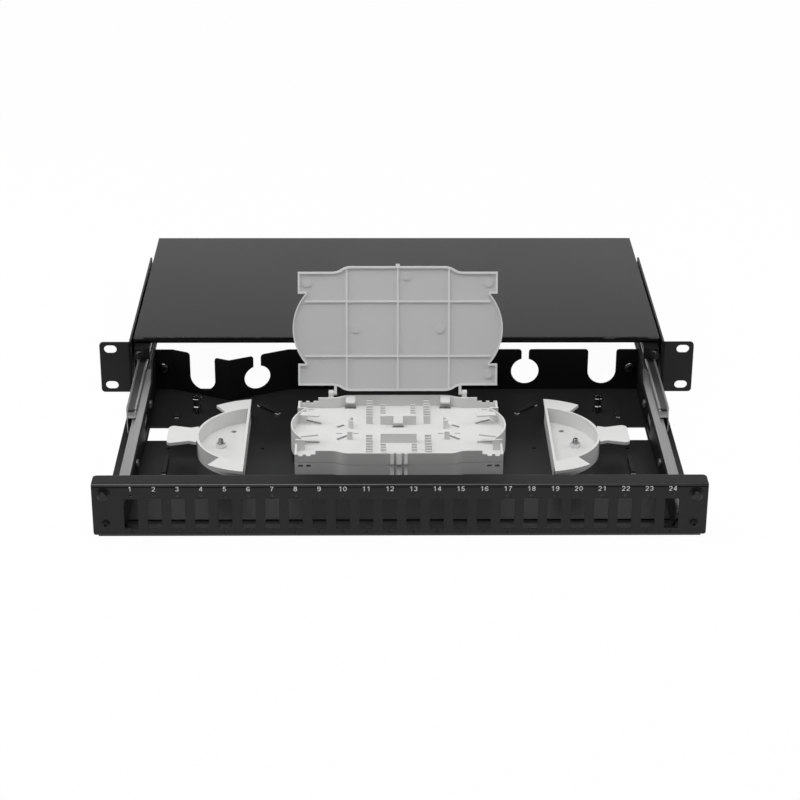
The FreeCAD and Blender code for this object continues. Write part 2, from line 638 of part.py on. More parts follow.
def place(body, x, y, z, axis=None, degrees=0.0):
    """Put a finished body in its place, turned about an axis through its own origin."""
    turn = FreeCAD.Rotation(axis, degrees) if axis else FreeCAD.Rotation()
    body.Placement = FreeCAD.Placement(FreeCAD.Vector(0, 0, 0), turn)
    for letter, dim in (("x", x), ("y", y), ("z", z)):
        bind(body, "Placement.Base." + letter, dim)
    doc.recompute()
    return body


def mirrored(label, source):
    """The right-hand twin of a left-hand piece."""
    twin = doc.addObject("Part::Mirroring", label)
    twin.Label = label
    twin.Source = source
    twin.Normal = FreeCAD.Vector(1, 0, 0)
    doc.recompute()
    return twin


def grouped(label, members):
    """Several separate solids that share one node."""
    group = doc.addObject("Part::Compound", label)
    group.Label = label
    group.Links = members
    doc.recompute()
    return group


SUBPARTS = []


def keep(*pieces):
    """List finished sub-parts for writing."""
    SUBPARTS.extend(pieces)


def keep_pair(name, left):
    """List a left-hand piece with its right-hand twin."""
    keep(left, mirrored(name + "_right", left))


def make_cover():
    """The housing's inverted U of sheet, with a stepped lip along its front edge."""
    body = new_body("housing_cover")
    half, inner = COVER_HALF, COVER_IN
    roof = COVER_TOP - d.cover_sheet
    pad(body, "XZ", d.cover_setback, COVER_REAR,
        [[(-half, COVER_LOW), (-inner, COVER_LOW), (-inner, roof), (inner, roof),
          (inner, COVER_LOW), (half, COVER_LOW), (half, COVER_TOP), (-half, COVER_TOP)]])
    front, sheet = d.cover_setback, d.cover_sheet
    step = COVER_TOP - d.lip_step
    pad(body, "YZ", -inner, inner,
        [[(front, roof), (front, step - sheet), (front + sheet, step - sheet),
          (front + sheet, LIP_LOW), (front + 2 * sheet, LIP_LOW), (front + 2 * sheet, step),
          (front + sheet, step), (front + sheet, roof)]])
    pocket(body, "YZ", -half - PAST, half + PAST,
           [circle(d.boss_front + d.boss_pitch * i, 0, d.screw_radius + d.screw_gap)
            for i in range(2)])
    keep(body)


def make_brackets():
    """A rack bracket: the slotted ear and the side plate are one bent sheet, with two bosses."""
    body = new_body("rack_bracket_left")
    sheet = d.bracket_sheet
    bend = d.bracket_bend
    pad(body, "XY", -EAR_TOP, EAR_TOP,
        [[(-EAR_OUT, 0), (-PLATE_IN - bend, 0, bend), (-PLATE_IN, bend),
          (-PLATE_IN, d.bracket_depth), (-PLATE_OUT, d.bracket_depth), (-PLATE_OUT, sheet),
          (-EAR_OUT, sheet)]])
    tip = -EAR_OUT.value
    round_edges(body, d.ear_corner,
                lambda middle, edge: abs(middle.x - tip) < 0.01 and edge.Length < sheet.value + 0.1)
    rise = d.rack_hole_rise / 2
    pocket(body, "XZ", -PAST, sheet + PAST,
           [rounded_slot(-RACK_HOLE_X, side * rise, d.rack_slot_length, d.rack_slot_width)
            for side in (-1, 1)])
    bosses = [(d.boss_front + d.boss_pitch * i, 0) for i in range(2)]
    pad(body, "YZ", -PLATE_IN, -COVER_HALF, [circle(y, z, d.boss_radius) for y, z in bosses])
    pocket(body, "YZ", -PLATE_OUT - PAST, -COVER_HALF + PAST,
           [circle(y, z, d.screw_radius + d.screw_gap) for y, z in bosses])
    keep_pair("rack_bracket", body)


def make_latch_plates():
    """The bent plate behind each end of the front panel, with the hole for its plunger."""
    body = new_body("latch_plate_left")
    front, sheet = d.latch_setback, d.latch_sheet
    pad(body, "YZ", -COVER_IN, -COVER_IN + d.latch_width,
        [[(front, LIP_LOW - d.latch_height), (front + sheet, LIP_LOW - d.latch_height),
          (front + sheet, LIP_LOW - sheet), (d.cover_setback + 2 * d.cover_sheet, LIP_LOW - sheet),
          (d.cover_setback + 2 * d.cover_sheet, LIP_LOW), (front, LIP_LOW)]])
    pocket(body, "XZ", front - PAST, front + sheet + PAST,
           [circle(-PLUNGER_X, d.plunger_z, d.grommet_radius + d.running_gap)])
    keep_pair("latch_plate", body)


def mirrored_section(upper):
    """A rail section from its upper half, listed from the web to the web's inner face."""
    lower = [(x, -z) for x, z in reversed(upper)]
    return [(x, SLIDE_MIDDLE + z) for x, z in upper + lower]


def make_rails():
    """The three nested rails of the left slide and their twins."""
    sheet, mouth = d.slide_sheet, RAIL_MOUTH
    high = d.slide_height / 2
    outer = new_body("slide_outer_left")
    rail_front = d.cover_setback + 2 * d.cover_sheet
    pad(outer, "XZ", rail_front, rail_front + d.outer_rail_length,
        [mirrored_section([(-COVER_IN, high), (-mouth, high), (-mouth, high - sheet - d.rail_lip),
                           (-mouth - sheet / 2, high - sheet - d.rail_lip),
                           (-mouth - sheet / 2, high - sheet),
                           (-COVER_IN + sheet, high - sheet)])])
    keep_pair("slide_outer", outer)

    high, dip = d.middle_rail_height / 2, d.track_groove
    web, end = MIDDLE_WEB, MIDDLE_END
    edge = end + d.track_edge
    floor = edge + d.track_ramp
    middle = new_body("slide_middle_left")
    pad(middle, "XZ", -d.middle_rail_reach, d.middle_rail_length - d.middle_rail_reach,
        [mirrored_section([(-web, high), (-web + dip, high), (-web + sheet, high - dip),
                           (-floor, high - dip), (-edge, high), (-end, high), (-end, high - sheet),
                           (-edge, high - sheet), (-floor, high - sheet - dip),
                           (-web + sheet, high - sheet - dip)])])
    keep_pair("slide_middle", middle)

    high, track = d.inner_rail_height / 2, d.inner_track_height / 2
    shoulder = INNER_SHOULDER
    inner = new_body("slide_inner_left")
    front = FACE_BACK + d.inner_rail_gap
    pad(inner, "XZ", front, front + d.inner_rail_length,
        [mirrored_section([(-WALL_OUT, high), (-shoulder, high), (-shoulder, track),
                           (-INNER_TRACK_END, track), (-INNER_TRACK_END, track - sheet),
                           (-shoulder + sheet, track - sheet), (-shoulder + sheet, high - sheet),
                           (-WALL_OUT - sheet, high - sheet)])[::-1]])
    pocket(inner, "YZ", -WALL_OUT - sheet - PAST, -WALL_OUT + PAST,
           [circle(-d.rail_screw_front + d.rail_screw_pitch * i, SLIDE_MIDDLE,
                   d.screw_radius + d.screw_gap) for i in range(2)])
    keep_pair("slide_inner", inner)


def make_cage(name, web, sheet, mouth, level, front, length, ball, ball_x, ball_level):
    """A ball cage: a thin channel whose flanges hold two rows of balls in holes.

    The level is the inside of the flanges and the ball level the balls' centres, both counted
    from the middle of the slide.
    """
    body = new_body(name + "_cage_left")
    pad(body, "XZ", front, front + length,
        [mirrored_section([(-web, level + sheet), (-mouth, level + sheet), (-mouth, level),
                           (-web + sheet, level)])])
    first = front + (length - d.ball_pitch * (BALLS_PER_ROW - 1)) / 2
    spots = [first + d.ball_pitch * i for i in range(BALLS_PER_ROW)]
    pocket(body, "XY", SLIDE_MIDDLE - level - sheet - PAST, SLIDE_MIDDLE + level + sheet + PAST,
           [circle(-ball_x, y, ball + d.screw_gap) for y in spots])
    keep_pair(name + "_cage", body)
    balls = []
    for y in spots:
        for side in (-1, 1):
            sphere = doc.addObject("Part::Sphere", "Ball")
            bind(sphere, "Radius", ball)
            bind(sphere, "Placement.Base.x", -ball_x)
            bind(sphere, "Placement.Base.y", y)
            bind(sphere, "Placement.Base.z", SLIDE_MIDDLE + side * ball_level)
            balls.append(sphere)
    keep_pair(name + "_balls", grouped(name + "_balls_left", balls))


def make_cages():
    """The ball cages between the inner and middle rails, and between the middle and outer rails."""
    inner_level = d.inner_track_height / 2 + d.web_gap + d.inner_ball_radius
    make_cage("inner", INNER_CAGE_WEB, d.inner_cage_sheet, MIDDLE_END - d.running_gap,
              inner_level - d.inner_cage_sheet / 2, -d.inner_cage_reach, d.inner_cage_length,
              d.inner_ball_radius, MIDDLE_END + d.inner_ball_radius + d.web_gap, inner_level)
    groove = d.middle_rail_height / 2 - d.track_groove
    outer_level = groove + d.web_gap + d.outer_ball_radius
    make_cage("outer", MIDDLE_WEB + d.web_gap + d.outer_cage_sheet, d.outer_cage_sheet,
              RAIL_MOUTH + d.slide_sheet / 2 + d.web_gap, outer_level, d.outer_cage_setback,
              d.outer_cage_length, d.outer_ball_radius,
              MIDDLE_WEB - 2 * d.slide_sheet, outer_level)


def make_floor():
    """The drawer's floor, joggled down at the front under the front panel's bottom flange."""
    body = new_body("drawer_floor")
    sheet = d.floor_sheet
    low = FLOOR_TOP - sheet
    groove = BOTTOM_REAR + d.lap_gap
    pad(body, "YZ", -FLOOR_HALF, FLOOR_HALF,
        [[(0, low), (0, FLOOR_TOP), (groove, FLOOR_TOP), (groove, low), (FACE_BACK, low),
          (FACE_BACK, low - sheet), (groove + sheet, low - sheet), (groove + sheet, low)]])
    front, edge = -d.window_front, WALL_IN - d.window_inset
    pocket(body, "XY", low - PAST, FLOOR_TOP + PAST,
           both_sides([rectangle(-edge, -edge + d.window_width, front, front + d.window_depth)]))
    pocket(body, "XY", FLOOR_TOP - d.dimple_depth, FLOOR_TOP + PAST,
           [circle(x, STUD_Y, d.dimple_radius) for x in (-BRIDGE_X, SPOOL_X, -SPOOL_X, BRIDGE_X)])
    add_tie_bridges(body)
    keep(body)


def add_tie_bridges(body):
    """Lanced cable-tie bridges of the floor: raised straps on two feet."""
    spots = [(SPOOL_X + d.bridge_slant_shift, -d.bridge_slant_y, d.bridge_slant, 135.0),
             (-BRIDGE_X, -d.bridge_long_y, d.bridge_long, 90.0),
             (-BRIDGE_X + d.bridge_short_shift, -d.bridge_short_y, d.bridge_short, 90.0)]
    width, foot, rise = d.bridge_width, d.bridge_foot, d.bridge_rise
    straps, feet = [], []
    for x, y, length, turn in spots:
        cos, sin = math.cos(math.radians(turn)), math.sin(math.radians(turn))
        straps.append(turned_bar(x, y, length, width, turn))
        for end in (-1, 1):
            reach = (length - foot) * (end / 2)
            feet.append(turned_bar(x + reach * cos, y + reach * sin, foot, width, turn))
    pad(body, "XY", FLOOR_TOP, FLOOR_TOP + rise / 2, both_sides(feet))
    pad(body, "XY", FLOOR_TOP + rise / 2, FLOOR_TOP + rise, both_sides(straps))


def make_side_walls():
    """A drawer side wall with a raised rear corner, a rear flange, a window and screw holes."""
    body = new_body("drawer_side_left")
    top = FLOOR_TOP + d.wall_height
    rear = d.wall_sheet
    raised = REAR_TOP - d.running_gap
    corner, lift = d.wall_corner, FLOOR_TOP + d.wall_rear_lift
    pad(body, "YZ", -WALL_OUT, -WALL_IN,
        [[(FACE_BACK, FLOOR_TOP + corner, corner), (FACE_BACK + corner, FLOOR_TOP), (0, FLOOR_TOP),
          (0, lift), (rear, lift), (rear, raised), (rear - d.wall_rear_length, raised),
          (rear - d.wall_rear_length - (raised - top), top), (FACE_BACK, top)]])
    middle = d.rear_screw_z
    pad(body, "XY", middle - d.wall_flange_half, middle + d.wall_flange_half,
        [rectangle(-WALL_IN, -WALL_IN + d.wall_flange, 0, d.wall_sheet)])
    front, margin = -d.window_front, d.window_margin
    pocket(body, "YZ", -WALL_OUT - PAST, -WALL_IN + PAST,
           [rectangle(front, front + d.window_depth, FLOOR_TOP + margin, top - margin)])
    pocket(body, "YZ", -WALL_OUT - PAST, -WALL_IN + PAST,
           [circle(-d.rail_screw_front + d.rail_screw_pitch * i, SLIDE_MIDDLE,
                   d.screw_radius + d.screw_gap) for i in range(2)])
    pocket(body, "XZ", -PAST, d.wall_sheet + PAST,
           [circle(-REAR_SCREW_X, d.rear_screw_z, d.screw_radius + d.screw_gap)])
    keep_pair("drawer_side", body)


def entry_slot(x, half, bottom, top):
    """An open-topped U for a cable, with a half-round foot and a rounded mouth."""
    mouth = d.mouth_radius
    return [(x - half, bottom + half, half), (x, bottom, half), (x + half, bottom + half),
            (x + half, top - mouth, -mouth), (x + half + mouth, top), (x + half + mouth, top + PAST),
            (x - half - mouth, top + PAST), (x - half - mouth, top, -mouth), (x - half, top - mouth)]


def make_rear_wall():
    """The drawer's rear wall, folded forward into a V on the left, with cable entries."""
    body = new_body("drawer_rear_wall")
    sheet = d.wall_sheet
    apex = -FOLD_X
    left, right = apex - d.fold_half, apex + d.fold_half
    slant = math.hypot(d.fold_half.value, d.fold_depth.value) / d.fold_half.value
    skew = sheet * (slant - 1) * (d.fold_half / d.fold_depth)
    top = REAR_TOP
    pad(body, "XY", FLOOR_TOP, top,
        [[(-WALL_IN, -sheet), (left - skew, -sheet), (apex, -d.fold_depth - slant * sheet),
          (right + skew, -sheet), (WALL_IN, -sheet), (WALL_IN, 0), (right, 0),
          (apex, -d.fold_depth), (left, 0), (-WALL_IN, 0)]])
    foot = FLOOR_TOP + d.entry_floor
    lean = d.fold_half.value / math.hypot(d.fold_half.value, d.fold_depth.value)
    deep = d.fold_depth + slant * sheet + PAST
    face = d.fold_entry
    entries = [entry_slot(ENTRY_X, d.entry_radius, foot, top),
               entry_slot(apex - face, d.entry_radius * lean, foot, top)]
    pocket(body, "XZ", -deep, PAST, entries)
    necks, holes = [], []
    for x, radius in ((KEYHOLE_X, d.keyhole_radius), (apex + face, d.keyhole_radius * lean)):
        centre = foot + d.keyhole_radius
        mouth, half = d.mouth_radius, d.keyhole_neck / 2
        necks.append([(x - half, centre), (x + half, centre), (x + half, top - mouth, -mouth),
                      (x + half + mouth, top), (x + half + mouth, top + PAST),
                      (x - half - mouth, top + PAST), (x - half - mouth, top, -mouth),
                      (x - half, top - mouth)])
        holes.append(circle(x, centre, radius))
    pocket(body, "XZ", -deep, PAST, holes)
    pocket(body, "XZ", -deep, PAST, necks)
    pocket(body, "XZ", -sheet - PAST, PAST,
           [circle(side * REAR_SCREW_X, d.rear_screw_z, d.screw_radius + d.screw_gap)
            for side in (-1, 1)])
    keep(body)


def make_front_panel():
    """The folded front panel with its row of port cut-outs."""
    body = new_body("front_panel")
    sheet = d.front_sheet
    pad(body, "YZ", -FRONT_HALF, FRONT_HALF,
        [[(FACE_FRONT, -FRONT_TOP), (BOTTOM_REAR, -FRONT_TOP), (BOTTOM_REAR, -FRONT_TOP + sheet),
          (FACE_BACK, -FRONT_TOP + sheet), (FACE_BACK, FRONT_TOP - sheet),
          (FLANGE_REAR, FRONT_TOP - sheet), (FLANGE_REAR, FRONT_TOP), (FACE_FRONT, FRONT_TOP)]])
    face, high = FACE_FRONT.value, FRONT_TOP.value
    round_edges(body, d.front_fold,
                lambda middle, edge: abs(middle.y - face) < 0.01 and abs(abs(middle.z) - high) < 0.01)
    trim_panel_corners(body)
    first = d.port_shift + d.port_margin - FRONT_HALF
    front, back = FACE_FRONT - PAST, FACE_BACK + PAST
    port = pocket(body, "XZ", front, back,
                  [centred(first, -d.port_drop, d.port_width, d.port_height)])
    repeat(body, port, PORT_PITCH, PORT_COUNT)
    rise = d.port_screw_rise / 2
    screws = pocket(body, "XZ", front, back,
                    [circle(first, side * rise - d.port_drop, d.port_screw_radius)
                     for side in (-1, 1)])
    repeat(body, screws, PORT_PITCH, PORT_COUNT)
    pocket(body, "XZ", front, back,
           [circle(side * PLUNGER_X, d.plunger_z, d.grommet_radius + d.screw_gap) for side in (-1, 1)]
           + [circle(side * FRONT_SCREW_X, -d.front_screw_z, d.screw_radius + d.screw_gap)
              for side in (-1, 1)])
    keep(body)


def trim_panel_corners(body):
    """End the bottom flange short of the panel's ends and round the corners that are left free."""
    half, low, rear = FRONT_HALF, -FRONT_TOP, FLANGE_REAR
    pocket(body, "XY", low - PAST, low + d.front_sheet,
           both_sides([rectangle(-half - PAST, d.flange_inset - half, FACE_BACK, BOTTOM_REAR + PAST)]))
    radius = d.panel_corner
    pocket(body, "XZ", FACE_FRONT - PAST, FACE_BACK + PAST,
           both_sides([[(-half, low + radius, radius), (radius - half, low), (radius - half, low - PAST),
                        (-half - PAST, low - PAST), (-half - PAST, low + radius)]]))
    radius = d.flange_corner
    pocket(body, "XY", FRONT_TOP - d.front_sheet - PAST, FRONT_TOP + PAST,
           both_sides([[(radius - half, rear, radius), (-half, rear - radius),
                        (-half - PAST, rear - radius), (-half - PAST, rear + PAST),
                        (radius - half, rear + PAST)]]))


def make_plungers():
    """The latch plunger at each upper corner of the front panel and the grommet it slides in."""
    flange, thick = d.grommet_flange_radius, d.grommet_flange
    bore = d.plunger_radius + d.running_gap / 2
    grommet = turned("plunger_grommet_left", "XY",
                     [(bore, -thick), (flange, -thick), (flange, 0), (d.grommet_radius, 0),
                      (d.grommet_radius, d.grommet_length), (bore, d.grommet_length)])
    place(grommet, -PLUNGER_X, FACE_FRONT, d.plunger_z)
    keep_pair("plunger_grommet", grommet)
    knob, edge, shank = d.plunger_knob_radius, d.plunger_knob_edge, d.plunger_radius
    seat = -thick - d.running_gap
    face = seat - d.plunger_knob_height
    plunger = turned("plunger_left", "XY",
                     [(0, face), (knob - edge, face), (knob, face + edge), (knob, seat),
                      (shank, seat), (shank, d.plunger_length - d.plunger_tip),
                      (shank / 2, d.plunger_length), (0, d.plunger_length)])
    place(plunger, -PLUNGER_X, FACE_FRONT, d.plunger_z)
    keep_pair("plunger", plunger)


def pan_screw(label, length, head_radius=None):
    """A pan-head screw with a plain head, its axis along +Y, its seat at the origin."""
    head = head_radius or d.screw_head_radius
    tall = d.screw_head_height
    return turned(label, "XY",
                  [(0, -tall), (head * HEAD_FLAT, -tall), (head, -tall * HEAD_RIM), (head, 0),
                   (d.screw_radius, 0), (d.screw_radius, length), (0, length)])


def make_screws():
    """All fasteners that share one pattern, as groups of separate solids."""
    left, along_z = [], FreeCAD.Vector(0, 0, 1)
    for i in range(2):
        screw = pan_screw("bracket_screw", PLATE_OUT - COVER_IN)
        left.append(place(screw, -PLATE_OUT, d.boss_front + d.boss_pitch * i, 0, along_z, -90.0))
    right = [mirrored("bracket_screw_twin", screw) for screw in left]
    keep(grouped("bracket_screws", left + right))
    left = []
    for i in range(2):
        screw = pan_screw("rail_screw", d.wall_sheet + d.slide_sheet + d.screw_end / 3)
        y = -d.rail_screw_front + d.rail_screw_pitch * i
        left.append(place(screw, -WALL_IN, y, SLIDE_MIDDLE, along_z, 90.0))
    right = [mirrored("rail_screw_twin", screw) for screw in left]
    keep(grouped("rail_screws", left + right))
    screw = pan_screw("rear_wall_screw", 2 * d.wall_sheet + d.screw_end, d.rear_screw_head)
    place(screw, -REAR_SCREW_X, -d.wall_sheet, d.rear_screw_z)
    keep(grouped("rear_wall_screws", [screw, mirrored("rear_wall_screw_twin", screw)]))
    screw = pan_screw("front_screw", d.front_sheet + d.screw_end, d.front_screw_head)
    place(screw, -FRONT_SCREW_X, FACE_FRONT, -d.front_screw_z)
    keep(grouped("front_screws", [screw, mirrored("front_screw_twin", screw)]))


def make_spools():
    """A D-shaped fibre spool: a cup with a flat wall, two fan flanges and a handle flange."""
    body = new_body("fibre_spool_left")
    radius, chord, wall = d.spool_radius, d.spool_chord, d.spool_wall
    flat = SPOOL_X - chord
    reach = math.sqrt(radius.value ** 2 - chord.value ** 2) / radius.value * radius
    top = FLOOR_TOP + d.spool_height
    pad(body, "XY", FLOOR_TOP, top,
        [[(flat, SPOOL_Y + reach, radius), (SPOOL_X - radius, SPOOL_Y, radius),
          (flat, SPOOL_Y - reach)]])
    inner, inner_flat = radius - wall, flat - wall
    inside = math.sqrt(inner.value ** 2 - (chord + wall).value ** 2) / inner.value * inner
    pocket(body, "XY", FLOOR_TOP + wall, top + PAST,
           [[(inner_flat, SPOOL_Y + inside, inner), (SPOOL_X - inner, SPOOL_Y, inner),
             (inner_flat, SPOOL_Y - inside)]])
    lip = top - d.spool_lip
    ring, far = radius - wall / 2, radius + d.spool_fan
    fans = []
    for side in (1, -1):
        fan = []
        for size, degrees in zip((ring, ring, far, far), FAN_ROOT + FAN_EDGE[::-1]):
            angle = math.radians(degrees)
            fan.append([SPOOL_X + size * math.cos(angle), SPOOL_Y + side * size * math.sin(angle)])
        fan[1][0] = fan[2][0] = flat
        fan[0].append(-side * ring)
        fan[2].append(side * far)
        fans.append([tuple(corner) for corner in fan])
    pad(body, "XY", lip, top, fans)
    grip, corner = SPOOL_X - radius - d.spool_handle, d.handle_corner
    root, waist, tip = d.handle_root, d.handle_waist, d.handle_tip
    neck = SPOOL_X - radius + wall / 2
    narrow = neck - d.handle_waist_reach
    pad(body, "XY", lip, top,
        [[(neck, SPOOL_Y + root), (narrow, SPOOL_Y + waist), (grip + corner, SPOOL_Y + tip, corner),
          (grip, SPOOL_Y + tip - corner), (grip, SPOOL_Y - tip + corner, corner),
          (grip + corner, SPOOL_Y - tip), (narrow, SPOOL_Y - waist), (neck, SPOOL_Y - root)]])
    pocket(body, "XY", FLOOR_TOP - PAST, FLOOR_TOP + wall + PAST,
           [circle(STUD_X, STUD_Y, d.stud_radius + d.screw_gap),
            circle(STUD_X + d.spare_hole_x, STUD_Y + d.spare_hole_y, d.stud_radius + d.screw_gap)])
    keep_pair("fibre_spool", body)


def make_studs():
    """The threaded stud that holds each spool, with its hexagon nut."""
    stud = turned("spool_stud", "XZ",
                  [(0, 0), (d.stud_radius, 0), (d.stud_radius, d.stud_height - d.stud_bevel),
                   (d.stud_radius - d.stud_bevel, d.stud_height), (0, d.stud_height)])
    place(stud, STUD_X, STUD_Y, FLOOR_TOP)
    keep(grouped("spool_studs", [stud, mirrored("spool_stud_twin", stud)]))
    nut = new_body("spool_nut")
    pad(nut, "XY", 0, d.nut_height, [hexagon(d.nut_width)])
    pocket(nut, "XY", -PAST, d.nut_height + PAST, [circle(0, 0, d.stud_radius + d.screw_gap / 2)])
    place(nut, STUD_X, STUD_Y, FLOOR_TOP + d.spool_wall)
    keep(grouped("spool_nuts", [nut, mirrored("spool_nut_twin", nut)]))


def make_posts():
    """The clamp posts for the cable's strength member, each with a cross hole and a flange screw."""
    neck, bore, high = d.post_neck, d.post_bore, d.post_height
    post = turned("clamp_post_left", "XZ",
                  [(0, 0), (d.post_radius, 0), (d.post_radius, d.post_foot),
                   (neck, d.post_foot + d.post_slope), (neck, high), (bore, high),
                   (bore, high - d.post_bore_depth), (0, high - d.post_bore_depth)])
    pocket(post, "XZ", -d.post_radius - PAST, d.post_radius + PAST,
           [circle(0, d.post_cross_z, d.post_cross_hole)])
    place(post, -POST_X, -d.post_y, FLOOR_TOP)
    keep_pair("clamp_post", post)
    shank, flange, thick = bore - d.screw_gap, d.clamp_flange, d.clamp_flange_height
    screw = turned("clamp_screw", "XZ",
                   [(0, -d.clamp_shank), (shank, -d.clamp_shank), (shank, 0), (flange, 0),
                    (flange, thick), (0, thick)])
    pad(screw, "XY", thick, thick + d.clamp_height, [hexagon(d.clamp_width)])
    place(screw, -POST_X, -d.post_y, FLOOR_TOP + d.post_height)
    keep(grouped("clamp_screws", [screw, mirrored("clamp_screw_twin", screw)]))


def tray_outline(inset, depth_inset, middle_y):
    """The trays' outline with round ends and S-shaped shoulders, drawn inwards by an inset."""
    deep = d.tray_half_depth - depth_inset - inset
    side = d.tray_corner_depth - depth_inset - inset
    corner, foot, end = d.tray_corner_x - inset, d.tray_end_x - inset, d.tray_end_y
    step_in, step_out = d.tray_step_inner - inset / 2, d.tray_step_outer - inset / 2
    half_x, half_y = (step_in + step_out) / 2, (deep + side) / 2
    run, rise = step_out - step_in, deep - side
    bend = (run * run + rise * rise) / (4 * rise)
    radius = d.tray_end_radius - inset
    notch = end + inset + d.tray_end_gap
    right = [(step_in, -deep, bend), (half_x, -half_y, -bend), (step_out, -side), (corner, -side),
             (corner, -notch), (foot, -notch), (foot, -end, radius), (foot, end), (foot, notch),
             (corner, notch), (corner, side), (step_out, side, -bend), (half_x, half_y, bend),
             (step_in, deep)]
    return [(point[0], middle_y + point[1]) + tuple(point[2:])
            for point in right + mirrored_loop(right)]


def tray_bars(bars):
    """Turned bars of a splice tray's left half with their mirror images."""
    return both_sides([turned_bar(Dim.of(x), TRAY_Y + y, Dim.of(length), Dim.of(width), turn)
                       for x, y, length, width, turn in bars])


def make_tray(label, base, stacked):
    """One splice tray: a shell on the outline, fins and guides, hinge knuckles and a front catch.

    A tray that another one is stacked on has holes in its corners, and the top one has combs.
    """
    body = new_body(label)
    wall, seam, top, floor = d.tray_wall, d.tray_seam, base + d.tray_height, base + d.tray_wall
    none = Dim.of(0)
    pad(body, "XY", base, base + seam, [tray_outline(seam, none, TRAY_Y)])
    pad(body, "XY", base + seam, top, [tray_outline(none, none, TRAY_Y)])
    pocket(body, "XY", floor, top + PAST, [tray_outline(wall, none, TRAY_Y)])
    gap, reach = d.snap_slot_gap, d.snap_reach
    snap = TRAY_Y + d.tray_half_depth - wall - reach / 2 - gap
    slot_y, slot_length, slot_width = BLOCK_SLOT
    pocket(body, "XY", base - PAST, floor + PAST,
           tray_bars(TRAY_SLOTS)
           + both_sides([centred(-d.snap_x, snap, d.snap_width + 2 * gap, reach)])
           + [centred(none, TRAY_Y + slot_y, Dim.of(slot_length), Dim.of(slot_width))])
    cut_tray_corners(body, top, stacked)
    add_tray_fins(body, floor, top)
    add_tray_catches(body, top)
    add_tray_knuckles(body, top)
    if stacked:
        pad(body, "XY", FLOOR_TOP, base,
            [circle(sign * d.tray_foot_x, TRAY_Y + end * d.tray_foot_y, d.tray_foot_radius)
             for sign in (-1, 1) for end in (-1, 1)])
    keep(body)


def cut_tray_corners(body, top, stacked):
    """Holes in the corners' front and rear walls, or lowered corners with notches."""
    wall, side, corner = d.tray_wall, d.tray_corner_depth, d.tray_corner_x
    level, height = top - d.vent_drop, d.vent_height
    if not stacked:
        level, height = top - d.comb_drop, 2 * d.comb_depth
        inside = d.tray_end_y + d.tray_end_gap + wall
        pocket(body, "XY", level, top + PAST,
               both_sides([rectangle(-corner - PAST, -d.comb_start, TRAY_Y + inside, TRAY_Y + side + PAST),
                           rectangle(-corner - PAST, -d.comb_start, TRAY_Y - side - PAST,
                                     TRAY_Y - inside)]))
    first = d.comb_inset - corner
    notches = both_sides([centred(first + d.comb_pitch * i, level, d.comb_width, height)
                          for i in range(2)])
    pocket(body, "XZ", TRAY_Y - side - PAST, TRAY_Y - side + wall + PAST, notches)
    pocket(body, "XZ", TRAY_Y + side - wall - PAST, TRAY_Y + side + PAST, notches)


def add_tray_fins(body, floor, top):
    """The splice fins, the cross blocks between them, and the fibre guides and tabs."""
    for x, width, height, rear, front, count in (
            (d.fin_outer_x, d.fin_outer_width, d.fin_outer_height, d.fin_outer_rear,
             d.fin_outer_front, OUTER_FINS),
            (d.fin_inner_x, d.fin_inner_width, d.fin_inner_height, d.fin_inner_rear,
             d.fin_inner_front, INNER_FINS)):
        fins = pad(body, "XY", floor, floor + height,
                   both_sides([centred(-x, TRAY_Y + y, width, d.fin_sheet) for y in (rear, -front)]))
        repeat(body, fins, d.fin_pitch, count, "V_Axis")
    block_top = floor + d.block_height
    pad(body, "XY", floor, block_top,
        [centred(Dim.of(0), TRAY_Y + y, d.block_width, d.block_depth)
         for y in (d.block_rear, -d.block_front)])
    snap = d.snap_width / 2
    add_tongue(body, -snap, snap, TRAY_Y + d.block_rear - d.block_depth / 2, block_top)
    x, y, outer, inner = -d.guide_x, TRAY_Y + d.guide_y, d.guide_radius, d.guide_radius - d.guide_wall
    half_round = [(x, y + outer, outer), (x - outer, y, outer), (x, y - outer), (x, y - inner, -inner),
                  (x - inner, y, -inner), (x, y + inner)]
    stop = centred(-d.stop_x, TRAY_Y - d.stop_y, d.stop_width, d.stop_depth)
    pad(body, "XY", floor, top - d.guide_drop, both_sides([half_round, stop]))
    level = top - d.tab_drop
    pad(body, "XY", level - d.tab_sheet, level, tray_bars(TRAY_TABS))


def add_tongue(body, low, high, face, top):
    """A snap tongue that slopes down and forwards from the top of a wall's front face."""
    tip, lower, root = face - d.snap_reach, top - d.snap_drop, face + d.tray_wall / 2
    pad(body, "YZ", low, high,
        [[(root, top), (face, top), (tip, lower), (tip, lower - d.tab_sheet),
          (face, top - 2 * d.tab_sheet), (root, top - 2 * d.tab_sheet)]])


def add_tray_catches(body, top):
    """The snap tongues of the rear wall and the front catch, a slotted wedge with a slit behind it."""
    for x in (-d.snap_x, d.snap_x):
        add_tongue(body, x - d.snap_width / 2, x + d.snap_width / 2,
                   TRAY_Y + d.tray_half_depth - d.tray_wall, top)
    front, half, brow = TRAY_Y - d.tray_half_depth, d.catch_width / 2, d.catch_brow
    root, tip, low = front + d.tray_wall / 2, front - d.catch_reach, top - d.catch_height
    pad(body, "YZ", -half, half,
        [[(root, top), (front - brow, top), (tip, low + brow), (tip, low), (root, low)]])
    slot = d.catch_slot / 2
    pocket(body, "XY", low - PAST, top + PAST,
           both_sides([rectangle(-d.catch_slot_x - slot, slot - d.catch_slot_x, tip - PAST, front)]))
    slit = front + d.catch_relief
    pocket(body, "XY", top - d.catch_relief_depth, top + PAST,
           [rectangle(brow - half, half - brow, slit, slit + d.catch_relief)])


